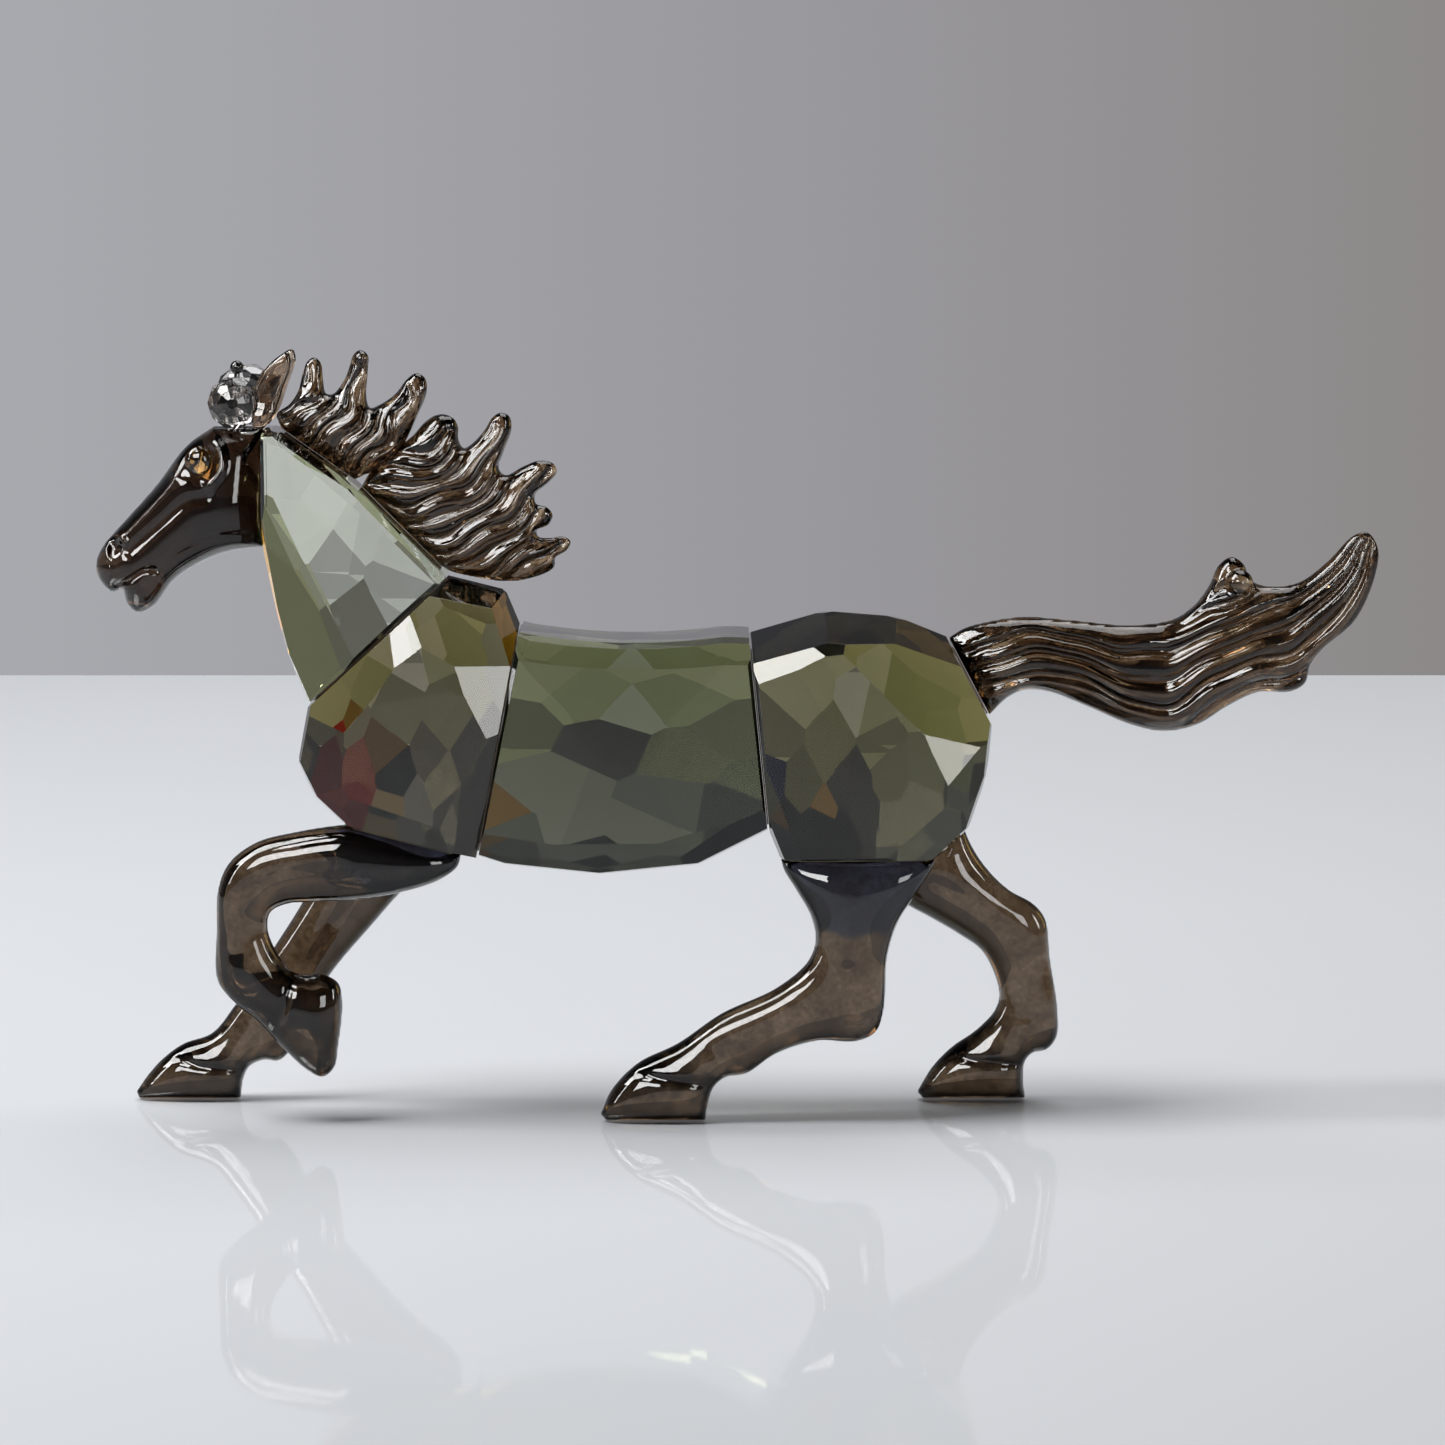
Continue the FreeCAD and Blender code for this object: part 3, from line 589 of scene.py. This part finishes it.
def leg(name, runs, table, side, coronet, tendons, dark):
    """A leg with the groove above its hoof and the soft hollows between bone and tendon. The hoof is
    smoked darker, and so is what lies beyond the line dark, given as a point and a direction."""
    shape = Moulding(runs, 2.2, 0.2)
    X, Z = shape.X, shape.Z
    half = shape.half() * profile(Z, table)
    inner = step_between(shape.edge, 0.2, 1.2)
    line = distance_to(smooth_run(coronet) + [coronet[-1]], X, Z, False)
    half = half - 0.28 * inner * np.exp(-(line / 0.6) ** 2)
    for run, deep in tendons:
        away = distance_to(smooth_run(run) + [run[-1]], X, Z, False)
        half = half - deep * inner * np.exp(-(away / 1.6) ** 2)
    bm = shape.solid(half)
    (x, z), (dx, dz) = dark
    level = 0.5 + 0.5 * step_between((X - x) * dx + (Z - z) * dz + 0.5 * np.sin(0.9 * X), -0.5, 0.5)
    cloud = 0.25 * np.sin(1.7 * X + 0.9 * Z) * np.sin(2.3 * Z - 0.6 * X)
    wall = 1 - step_between(np.abs(shape.edge - 0.6), 0.2, 0.9)
    hoof = np.exp(-(line / 1.3) ** 2) * 0.8 + 0.7 * wall * (line < 6)
    level = level - 0.5 * np.clip(hoof + cloud * (line < 7), 0, 1)
    marks = shape.marks(level, LEG_TINTS)
    bmesh.ops.translate(bm, verts=bm.verts, vec=(0, side * LEG_SPREAD, 0))
    piece(name + "_moulding", bm, SMOKY, [name], marks=marks)


front, back = at_x(*fore_seat, -54.3), at_x(*fore_seat, -38.4)
leg("foreleg_left", [
    [front, (-56.6, 41.2), (-61.3, 40.4), (-66.7, 39.0), (-70.5, 36.2), (-72.1, 32.6), (-72.4, 26.5),
     (-72.3, 19.6), (-69.6, 16.2), (-66.9, 14.1), (-63.4, 10.3), (-59.8, 7.0), (-57.8, 6.1),
     (-56.2, 7.4), (-55.6, 10.5), (-55.0, 16.5), (-55.6, 19.3), (-58.0, 20.5), (-60.4, 20.4),
     (-62.1, 21.0), (-64.2, 23.8), (-65.3, 26.8), (-64.9, 29.2), (-62.6, 30.4), (-58.7, 30.7),
     (-53.4, 31.0), (-46.8, 32.0), (-41.5, 33.7), (-38.9, 35.6), back],
    [back, front],
], [(2, 4.0), (10, 4.2), (19, 4.0), (27, 3.7), (35, 4.2), (46, 4.5)], -1,
    [(-61.8, 20.0), (-63.0, 15.8), (-64.6, 12.6)],
    [([(-56.0, 35.4), (-64.0, 34.6), (-68.6, 31.6), (-69.4, 24.0)], 0.2)], ((-53.5, 35.5), (0.8, 0.6)))

front, back = at_x(*fore_seat, -54.3), at_x(*fore_seat, -39.4)
leg("foreleg_right", [
    [front, (-57.4, 36.2), (-61.8, 27.9), (-65.2, 22.5), (-71.4, 13.3), (-74.7, 9.3), (-78.7, 7.8),
     (-81.3, 6.0), (-83.6, 3.6), (-85.5, 0.9)],
    [(-85.5, 0.9), (-85.1, 0)],
    [(-85.1, 0), (-70.7, 0)],
    [(-70.7, 0), (-70.2, 3.0), (-69.3, 4.6), (-67.3, 5.5), (-65.2, 5.4), (-63.6, 6.8), (-60.6, 12.6),
     (-57.9, 17.6), (-51.9, 24.8), (-46.5, 30.8), (-41.5, 35.0), back],
    [back, front],
], [(-4, 4.4), (3, 4.3), (8, 3.6), (18, 3.5), (30, 4.1), (46, 4.5)], 1,
    [(-80.2, 6.4), (-76.2, 5.0), (-72.0, 4.6), (-69.6, 4.4)],
    [([(-50.0, 34.0), (-56.6, 26.0), (-62.6, 17.0), (-67.6, 10.4)], 0.2)], ((-46.0, 40.0), (0.3, 0.95)))

front, back = (6.0, hind_seat[0][1]), (27.4, hind_seat[0][1])
leg("hindleg_left", [
    [back, (27.0, 35.3), (25.1, 32.2), (22.3, 27.9), (20.8, 23.0), (20.3, 15.4), (19.2, 12.4),
     (16.4, 11.1), (11.1, 11.2), (5.4, 9.4), (1.2, 6.6), (-1.6, 6.1), (-3.3, 4.7), (-4.2, 2.0),
     (-4.5, 0)],
    [(-4.5, 0), (-18.4, 0)],
    [(-18.4, 0), (-19.1, 0.9)],
    [(-19.1, 0.9), (-17.6, 4.2), (-13.9, 8.0), (-8.3, 10.8), (-2.2, 15.0), (5.3, 18.5), (9.7, 22.2),
     (10.8, 25.2), (10.2, 28.6), (8.2, 32.2), (6.4, 35.2), front],
    [front, back],
], [(-4, 4.4), (3, 4.3), (8, 3.7), (18, 3.7), (30, 4.2), (44, 4.5)], -1,
    [(-14.6, 7.2), (-10.4, 6.2), (-6.0, 5.6), (-2.6, 5.0)],
    [([(15.0, 21.0), (12.0, 16.6), (5.0, 13.4), (-3.0, 10.0)], 0.2)], ((15.0, 26.5), (0.05, 1.0)))

top = at_x(*haunch_seat, 31.7)
fold = at_x(*hind_seat, 27.5)
front = (18.6, hind_seat[0][1])
leg("hindleg_right", [
    [top, (32.6, 37.4), (34.8, 33.6), (38.4, 29.9), (42.0, 27.8), (43.7, 25.6), (44.4, 20.0),
     (45.5, 12.8), (45.4, 8.8), (44.0, 7.0), (42.0, 6.5), (40.9, 5.2), (40.7, 2.4), (41.0, 0)],
    [(41.0, 0), (26.4, 0)],
    [(26.4, 0), (25.6, 0.9)],
    [(25.6, 0.9), (27.7, 4.4), (30.5, 7.3), (33.9, 9.7), (36.6, 12.6), (37.2, 15.2), (34.9, 20.9),
     (31.5, 23.5), (27.6, 25.8), (23.4, 28.2), (20.2, 31.6), front],
    [front, fold],
    [fold, top],
], [(-4, 4.4), (3, 4.3), (8, 3.7), (18, 3.7), (30, 4.2), (44, 4.5)], 1,
    [(29.6, 6.6), (33.6, 5.8), (38.2, 5.4), (41.6, 5.2)],
    [([(28.0, 31.0), (36.0, 26.6), (40.6, 21.0), (41.2, 12.4)], 0.2)], ((28.0, 42.0), (0.0, 1.0)))

# ---------------------------------------------------------------- head
poll_back = neck[0][0] - GLUE_GAP - AIR
DARK = glass("dark_moulded_glass", (0.42, 0.33, 0.27), (0.18, 0.125, 0.095), (0.40, 0.28, 0.16), 330,
             wave=0.08, mottle=90, grain=0.25, rim=EDGE_ON_SHADE)
shape = Moulding([
    [(poll_back, POLL), (-73.0, POLL)],
    [(-73.0, POLL), (-76.7, 93.6), (-81.1, 87.9), (-86.3, 82.1), (-88.6, 79.4), (-89.5, 77.2),
     (-89.2, 75.0), (-87.4, 73.1), (-85.9, 73.5)],
    [(-85.9, 73.5), (-85.2, 71.3), (-83.8, 70.2), (-81.6, 71.1), (-78.7, 74.7), (-75.1, 77.1),
     (-71.0, 78.7), (poll_back, 79.4)],
    [(poll_back, 79.4), (poll_back, POLL)],
], 2.2, 0.2)
X, Z = shape.X, shape.Z
half = shape.half() * profile(X, [(-94, 4.2), (-86, 4.6), (-79, 5.7), (-72, 6.8), (-62, 7.0)])


def mound(x, z, wide, tall, turn=0.0):
    """A soft round rise, one at its middle."""
    c, s = math.cos(turn), math.sin(turn)
    u, v = (X - x) * c + (Z - z) * s, -(X - x) * s + (Z - z) * c
    return np.exp(-(u / wide) ** 2 - (v / tall) ** 2)


def ridge(points, wide):
    """A soft rise that follows a curve over the side."""
    return np.exp(-(distance_to(smooth_run(points) + [points[-1]], X, Z, False) / wide) ** 2)


inner = step_between(shape.edge, 0.3, 1.8)
half = half - 1.5 * mound(-74.7, 91.9, 2.2, 2.5) + 0.55 * inner * ridge(
    [(-78.4, 90.0), (-77.3, 93.2), (-74.6, 95.0), (-72.0, 93.6), (-71.6, 90.6), (-73.2, 88.4)], 0.75)
half = half + 0.5 * inner * ridge([(-86.5, 81.0), (-82.0, 85.6), (-78.4, 89.2)], 1.1)
half = half - 0.45 * inner * ridge([(-84.6, 79.0), (-80.0, 83.0), (-76.4, 86.0), (-73.8, 86.6)], 0.9)
half = half + 0.5 * mound(-70.6, 84.6, 3.8, 4.6) - 0.4 * inner * ridge(
    [(-80.6, 76.4), (-77.6, 79.4), (-73.0, 81.0), (-66.5, 81.4)], 0.7)
half = half - 0.75 * ridge([(-86.4, 74.2), (-84.6, 75.2), (-82.6, 76.4), (-81.2, 76.6)], 0.42)
half = half + 0.45 * mound(-83.9, 73.4, 1.5, 1.4) + 0.35 * mound(-87.2, 76.2, 1.2, 1.5)
half = half - 0.9 * mound(-86.6, 79.6, 0.8, 1.3, -0.6) + 0.4 * ridge(
    [(-87.6, 78.0), (-87.9, 80.0), (-86.4, 81.4), (-85.2, 80.2)], 0.45)
piece("head_moulding", shape.solid(half), DARK, ["head"])


# ---------------------------------------------------------------- mane and tail
def strands(across, spacing, wander):
    """Grooves between strands of hair, -1 in a groove and 0 on a strand, from the position across them."""
    wave = 0.5 + 0.5 * np.cos(2 * math.pi * across / spacing + wander)
    return -wave ** 2.0


def streaks(across, spacing, wander):
    """The level of the streaks in drawn glass, 0 dark to 1 cream, from the position across them."""
    broad = np.sin(2 * math.pi * across / spacing + wander)
    fine = np.sin(2 * math.pi * across / (0.37 * spacing) - 1.7 * wander + 1.0)
    thread = np.clip(np.sin(2 * math.pi * across / (0.61 * spacing) + 2.3 * wander + 2.0) - 0.75, 0, 1) * 2.4
    return np.clip(0.40 + 0.34 * broad + 0.16 * fine + thread, 0, 1)


HAIR = glass("hair_moulded_glass", (0.84, 0.74, 0.62), (0.50, 0.38, 0.27), (0.44, 0.36, 0.24), 120, wave=0.08,
             mottle=90, grain=0.12, marks="marks", rim=EDGE_ON_SHADE)
seat = shifted(*shifted(neck[1], neck[2], GLUE_GAP), AIR)
low, high = at_x(*seat, -53.4), at_x(*seat, -63.6)
shape = Moulding([
    [high, (-64.2, 97.9), (-62.4, 99.3), (-61.2, 101.1), (-60.6, 103.3), (-59.9, 105.2), (-58.9, 105.8),
     (-58.0, 105.0), (-57.7, 102.6), (-57.3, 100.8), (-56.4, 100.7), (-54.8, 102.6), (-54.0, 104.6),
     (-53.5, 106.1), (-52.5, 106.8), (-51.5, 106.0), (-51.5, 103.4), (-51.7, 100.4), (-51.2, 98.8),
     (-49.9, 99.2), (-47.7, 100.7), (-46.0, 102.8), (-44.7, 103.6), (-43.5, 102.9), (-43.3, 100.9),
     (-44.6, 97.6), (-46.1, 94.4), (-48.2, 91.4), (-50.8, 89.9), low],
    [low, high],
], 2.0, 0.16)
X, Z = shape.X, shape.Z
round_centre = np.hypot(X + 66, Z - 106)
half = shape.half() * profile(Z, [(84, 5.0), (93, 4.9), (100, 3.4), (110, 2.0)])
fade = step_between(shape.edge, 0.2, 1.4)
wander = 1.2 * np.sin(0.55 * X + 0.8 * Z) + 0.8 * np.sin(0.9 * X - 0.5 * Z)
half = half + fade * (0.6 * strands(round_centre, 2.3, wander)
                      + 0.08 * strands(round_centre, 0.95, 1.7 * wander))
level = streaks(round_centre, 2.3, wander)
tip = (-52.4, 105.6)
piece("mane_front_moulding", shape.solid(half, extra=lambda f, x, y, z: join(
    f, ball(x, y, z, (tip[0], -0.3, tip[1]), 1.05), 0.3)), HAIR, ["mane_front"],
    marks=shape.marks(level))

seat = shifted(*shifted(neck[2], neck[3], GLUE_GAP), AIR)
low, high = at_x(*seat, -41.4), at_x(*seat, -52.4)
shape = Moulding([
    [high, (-51.6, 89.3), (-50.1, 91.1), (-45.4, 94.8), (-43.6, 96.8), (-41.9, 97.8), (-40.2, 97.7),
     (-39.0, 96.4), (-38.9, 94.4), (-38.2, 93.2), (-36.8, 94.0), (-35.2, 95.8), (-34.2, 97.4),
     (-33.0, 98.1), (-31.8, 97.6), (-31.5, 95.8), (-32.6, 92.6), (-33.3, 90.4), (-32.4, 89.4),
     (-29.9, 90.6), (-27.7, 91.4), (-25.7, 91.0), (-25.2, 89.8), (-26.4, 88.3), (-28.2, 86.7),
     (-28.1, 85.4), (-26.6, 84.9), (-25.8, 83.8), (-26.4, 82.4), (-28.0, 81.6), (-27.8, 80.8),
     (-26.2, 80.6), (-24.3, 80.8), (-23.3, 80.1), (-23.8, 78.9), (-25.4, 77.8), (-25.6, 76.5),
     (-27.4, 75.4), (-31.6, 74.5), (-36.6, 75.1), (-40.2, 76.0), low],
    [low, high],
], 2.0, 0.16)
X, Z = shape.X, shape.Z
round_centre = np.hypot(X + 46, Z - 100)
half = shape.half() * profile(X, [(-58, 5.0), (-45, 4.9), (-34, 3.8), (-20, 2.0)])
fade = step_between(shape.edge, 0.2, 1.4)
wander = 1.0 * np.sin(0.45 * X + 0.6 * Z) + 0.7 * np.sin(0.8 * X - 0.4 * Z)
half = half + fade * (0.5 * strands(round_centre, 2.4, wander)
                      + 0.10 * strands(round_centre, 0.95, 1.9 * wander))
level = streaks(round_centre, 2.4, wander)
piece("mane_rear_moulding", shape.solid(half, extra=lambda f, x, y, z: join(
    f, ball(x, y, z, (-40.4, -0.9, 96.3), 1.35), 0.3)), HAIR, ["mane_rear"],
    marks=shape.marks(level))

seat = shifted(*shifted(rump[3], rump[4], GLUE_GAP), AIR)
high, low = along(*seat, 0.3), along(seat[1], seat[0], 0.3)
upper = [high, (31.6, 67.9), (34.8, 68.8), (39.9, 69.5), (46.7, 69.0), (55.1, 68.3), (61.1, 69.2),
         (64.0, 71.3), (65.9, 73.9), (67.2, 76.7), (69.0, 77.9), (70.7, 76.9), (71.7, 74.7), (74.0, 73.8),
         (78.3, 74.3), (82.4, 77.3), (85.9, 80.9), (87.9, 81.4)]
lower = [(87.9, 81.4), (89.4, 79.2), (88.9, 74.7), (86.2, 68.9), (82.0, 65.1), (80.2, 62.8), (79.4, 60.2),
         (77.3, 59.0), (72.8, 58.9), (68.7, 57.0), (64.5, 54.4), (59.9, 53.4), (55.2, 54.3), (48.8, 57.0),
         (43.6, 59.0), (40.4, 59.3), (37.8, 58.2), low]
shape = Moulding([upper[:-1] + lower, [low, high]], 4.0, 0.25)
X, Z = shape.X, shape.Z
over = [(30, 67.6), (34.8, 68.8), (39.9, 69.5), (46.7, 69.0), (55.1, 68.3), (61.1, 69.2), (66.5, 72.0),
        (74.0, 73.9), (78.3, 74.3), (82.4, 77.3), (85.9, 80.9), (87.9, 81.8)]
under = [(34.5, 55.4), (37.8, 57.6), (43.6, 58.6), (48.8, 57.0), (55.2, 54.3), (59.9, 53.4), (64.5, 54.4),
         (68.7, 57.0), (73.5, 59.2), (80.4, 62.4), (86.2, 68.9), (89.0, 74.7), (89.2, 80.0)]
up = distance_to(smooth_run(over) + [over[-1]], X, Z, False)
down = distance_to(smooth_run(under) + [under[-1]], X, Z, False)
share = up / (up + down + 1e-6)
half = shape.half() * profile(X, [(24, 6.5), (36, 6.2), (50, 5.6), (64, 6.0), (78, 4.6), (92, 2.6)])
fade = step_between(shape.edge, 0.2, 1.6)
wander = (0.9 * np.sin(0.17 * X + 2.5 * share) + 0.8 * np.sin(0.33 * X - 4.0 * share + 1.3)
          + 0.3 * np.sin(0.8 * X))
half = half + fade * (0.90 * strands(share, 0.24, wander) + 0.08 * strands(share, 0.11, 1.6 * wander))
level = streaks(share, 0.24, wander)
sway = 0.8 * np.sin((X - 30) / 18.0)
piece("tail_moulding", shape.solid(half, middle=sway, extra=lambda f, x, y, z: join(
    f, ball(x, y, z, (70.0, -1.6, 74.4), 1.9), 0.4)), HAIR, ["tail"],
    marks=shape.marks(level))

# ---------------------------------------------------------------- poll and eyes
SMOKY_EAR = glass("ear_moulded_glass", (0.92, 0.80, 0.66), (0.50, 0.36, 0.24), (0.40, 0.26, 0.12), 420,
                  mottle=220, grain=0.2, rim=EDGE_ON_SHADE)
AMBER = glass("amber_foiled_stone", (0.66, 0.46, 0.20), (0.30, 0.17, 0.06), (0.9, 0.6, 0.2), 320)
CLEAR = glass("clear_crystal", (0.98, 0.985, 0.99), (0.94, 0.95, 0.96), (0.9, 0.9, 0.92), 4, marks="facet")
DROP = glass("drop_glass", (0.95, 0.95, 0.92), (0.86, 0.85, 0.80), (0.6, 0.58, 0.5), 80,
             fade=(102.6, 103.6, (0.02, 0.02, 0.02)))
FILM = glass("glue_film", (0.34, 0.28, 0.18), (0.16, 0.13, 0.08), (0.6, 0.45, 0.25), 200, ior=1.5)


def shade_beads(bm):
    """Bead facets tinted at random from clear to near black: painted shade for the dark a clear bead shows
    through some facets.
    """
    layer = bm.loops.layers.color.new("facet")
    rng = np.random.default_rng(3)
    for face in bm.faces:
        level = rng.choice([1.0, 0.9, 0.55, 0.12])
        for loop in face.loops:
            loop[layer] = (level, 0.98 * level, 0.97 * level, 1)


def brilliant(radius, half, sides, rows):
    """A faceted bead with its axis along Y: a girdle of flats and rows of facets on both ends,
    each row given as (tilt from the girdle in degrees, distance from the middle, turn)."""
    bm = bmesh.new()
    bmesh.ops.create_cube(bm, size=4 * radius)
    for i in range(sides):
        angle = 2 * math.pi * i / sides
        normal = Vector((math.sin(angle), 0, math.cos(angle + math.pi)))
        grind(bm, normal * radius, normal)
    for side in (-1, 1):
        grind(bm, Vector((0, side * half, 0)), Vector((0, side, 0)))
        for tilt, away, turn in rows:
            for i in range(sides):
                angle = 2 * math.pi * (i + turn) / sides
                t = math.radians(tilt)
                normal = Vector((math.sin(angle) * math.cos(t), side * math.sin(t),
                                 -math.cos(angle) * math.cos(t)))
                grind(bm, normal * away, normal)
    return bm


STONE_RADIUS, STONE_HALF = 3.5, 3.25
for name, x, y, scale in (("crown_stone_left", -69.8, -4.1, 1.0), ("crown_stone_right", -68.7, 4.3, 1.2)):
    radius = STONE_RADIUS * scale
    rows = [(28, radius * 0.99, 0.5), (52, radius * 0.97, 0.0), (72, 3.31 * scale ** 0.4, 0.0)]
    bm = brilliant(radius, STONE_HALF, 10, rows)
    shade_beads(bm)
    polish_edges(bm, 0.05)
    bmesh.ops.translate(bm, verts=bm.verts, vec=(x, y, POLL + radius))
    piece(name + "_cut", bm, CLEAR, [name], smooth=False)


def dress(name, material):
    """Give a CAD node's own mesh its glass."""
    mesh = frame["nodes"][name].data
    mesh.materials.clear()
    mesh.materials.append(material)


dress("eye_left", AMBER)
dress("eye_right", AMBER)
dress("forelock", DROP)
for name in frame["nodes"]:
    if name.startswith("bond_"):
        dress(name, FILM)

ear_run = [(-67.2, POLL + 0.02), (-67.5, 99.2), (-66.4, 102.9), (-64.4, 105.5), (-62.3, 106.7),
           (-61.8, 105.4), (-62.9, 101.8), (-64.2, 98.2), (-65.6, POLL + 0.02)]
for name, side in (("ear_left", -1), ("ear_right", 1)):
    shape = Moulding([ear_run, [ear_run[-1], ear_run[0]]], 1.1, 0.1)
    X, Z = shape.X, shape.Z
    hollow = step_between(shape.edge, 0.25, 0.8) * step_between(Z, 97.5, 100.0)
    hollow = hollow * (1 - step_between(Z, 103.5, 105.5))
    half = shape.half() * 1.25
    bm = shape.solid(half - 0.32 * hollow, middle=-side * 0.30 * hollow)
    bmesh.ops.translate(bm, verts=bm.verts, vec=(0, side * EAR_SPREAD, 0))
    piece(name + "_moulding", bm, SMOKY_EAR, [name])


# ---------------------------------------------------------------- stage
TABLE_SIZE, TABLE_PLACE = (3.2, 2.4, 0.02), (0, -0.57, -0.0102)


def table_top():
    """A pale lacquered table, matt underneath with a faint mirror in its lacquer."""
    material = bpy.data.materials.new("pale_lacquer")
    material.use_nodes = True
    tree = material.node_tree
    tree.nodes.remove(tree.nodes["Principled BSDF"])
    place = node(tree, "ShaderNodeTexCoord").outputs["Object"]
    cloud = node(tree, "ShaderNodeTexNoise", Scale=5.0, Detail=2.0, Roughness=0.5)
    tree.links.new(place, cloud.inputs["Vector"])
    paint = node(tree, "ShaderNodeBsdfDiffuse")
    tone = ramp(tree, cloud.outputs["Fac"], [(0.3, (0.775, 0.80, 0.835)), (0.7, (0.79, 0.815, 0.85))])
    tree.links.new(tone, paint.inputs["Color"])
    lacquer = node(tree, "ShaderNodeBsdfGlossy", Roughness=0.03, Color=(1, 1, 1, 1))
    mixed = node(tree, "ShaderNodeMixShader", Fac=0.20)
    tree.links.new(paint.outputs[0], mixed.inputs[1])
    tree.links.new(lacquer.outputs[0], mixed.inputs[2])
    tree.links.new(mixed.outputs[0], tree.nodes["Material Output"].inputs["Surface"])
    mesh = bpy.data.meshes.new("table_top")
    bm = bmesh.new()
    bmesh.ops.create_cube(bm, size=1.0)
    bmesh.ops.scale(bm, verts=bm.verts, vec=TABLE_SIZE)
    bmesh.ops.translate(bm, verts=bm.verts, vec=TABLE_PLACE)
    bm.to_mesh(mesh)
    bm.free()
    mesh.materials.append(material)
    obj = bpy.data.objects.new("table_top", mesh)
    bpy.context.scene.collection.objects.link(obj)


table_top()

world = bpy.data.worlds.new("studio")
bpy.context.scene.world = world
world.use_nodes = True

# The walls of the room: shaded from side to side, dimmer behind the camera and towards the ceiling
sky = world.node_tree
parts = node(sky, "ShaderNodeSeparateXYZ")
sky.links.new(node(sky, "ShaderNodeTexCoord").outputs["Generated"], parts.inputs[0])
sideways = node(sky, "ShaderNodeMapRange")
for key, value in (("From Min", -1), ("From Max", 1)):
    sideways.inputs[key].default_value = value
sky.links.new(parts.outputs["X"], sideways.inputs["Value"])
wall = ramp(sky, sideways.outputs[0], [(0.0, (0.20, 0.20, 0.21)), (0.28, (0.34, 0.345, 0.37)),
                                       (0.445, (0.392, 0.397, 0.423)), (0.50, (0.328, 0.323, 0.345)),
                                       (0.555, (0.262, 0.250, 0.248)), (0.70, (0.20, 0.195, 0.19)),
                                       (1.0, (0.20, 0.20, 0.20))])
ahead = node(sky, "ShaderNodeMapRange")
for key, value in (("From Min", -0.3), ("From Max", 0.75), ("To Min", 0.40), ("To Max", 1.0)):
    ahead.inputs[key].default_value = value
sky.links.new(parts.outputs["Y"], ahead.inputs["Value"])
above = node(sky, "ShaderNodeMapRange")
for key, value in (("From Min", 0.15), ("From Max", 0.6), ("To Min", 1.0), ("To Max", 0.15)):
    above.inputs[key].default_value = value
sky.links.new(parts.outputs["Z"], above.inputs["Value"])
level = node(sky, "ShaderNodeMath", operation="MULTIPLY")
sky.links.new(ahead.outputs[0], level.inputs[0])
sky.links.new(above.outputs[0], level.inputs[1])
sky.links.new(wall, sky.nodes["Background"].inputs["Color"])
sky.links.new(level.outputs[0], sky.nodes["Background"].inputs["Strength"])

# All that the softboxes light when they are flagged off the table
figurine = bpy.data.collections.new("figurine")
for obj in bpy.context.scene.objects:
    if obj.type == "MESH" and obj.name != "table_top":
        figurine.objects.link(obj)


def softbox(name, place, aim, size, power, colour=(1, 1, 1), glass_only=True):
    """A soft light that isn't seen itself. Most are flagged off the table and light only the glass."""
    light = bpy.data.lights.new(name, "AREA")
    light.shape = "RECTANGLE"
    light.size, light.size_y = size
    light.energy = power
    light.color = colour
    obj = bpy.data.objects.new(name, light)
    obj.location = place
    obj.rotation_euler = (Vector(aim) - Vector(place)).to_track_quat("-Z", "Y").to_euler()
    obj.visible_camera = False
    if glass_only:
        obj.light_linking.receiver_collection = figurine
    bpy.context.scene.collection.objects.link(obj)


CENTRE = (0, 0, 0.05)
softbox("overhead", (0.2, 0.60, 1.25), (0, 0.55, 0), (1.2, 0.8), 9.0, glass_only=False)
softbox("key", (-0.50, -0.12, 0.95), CENTRE, (0.50, 0.42), 8.7, glass_only=False)
softbox("left_edge", (-0.75, -0.20, 0.70), CENTRE, (0.36, 0.30), 6.0)
softbox("upper_front", (-0.35, -0.75, 1.15), CENTRE, (0.30, 0.24), 3.6)
softbox("front_left", (-0.36, -0.95, 0.50), CENTRE, (0.52, 0.38), 9.0)
softbox("front_right", (0.50, -0.98, 0.26), CENTRE, (0.26, 0.36), 2.0)
softbox("left_strip", (-1.0, -0.45, 0.45), CENTRE, (0.10, 0.6), 3)
softbox("right_strip", (1.05, -0.35, 0.40), CENTRE, (0.10, 0.5), 2.4)
softbox("amber_panel", (1.1, 0.75, 0.35), CENTRE, (0.25, 0.6), 1.0, (1.0, 0.62, 0.12))
bpy.context.scene.view_settings.view_transform = "Standard"

# ---------------------------------------------------------------- camera
LENS, DISTANCE, ELEVATION = 160, 0.899, math.radians(6)
camera = bpy.data.cameras.new("camera")
camera.lens = LENS
camera.sensor_width = 36
camera.clip_start = 0.01
eye = bpy.data.objects.new("camera", camera)
target = Vector((-0.0021, 0, 0.0547))
eye.location = target + Vector((0, -math.cos(ELEVATION), math.sin(ELEVATION))) * DISTANCE
eye.rotation_euler = (target - eye.location).to_track_quat("-Z", "Y").to_euler()
bpy.context.scene.collection.objects.link(eye)
bpy.context.scene.camera = eye
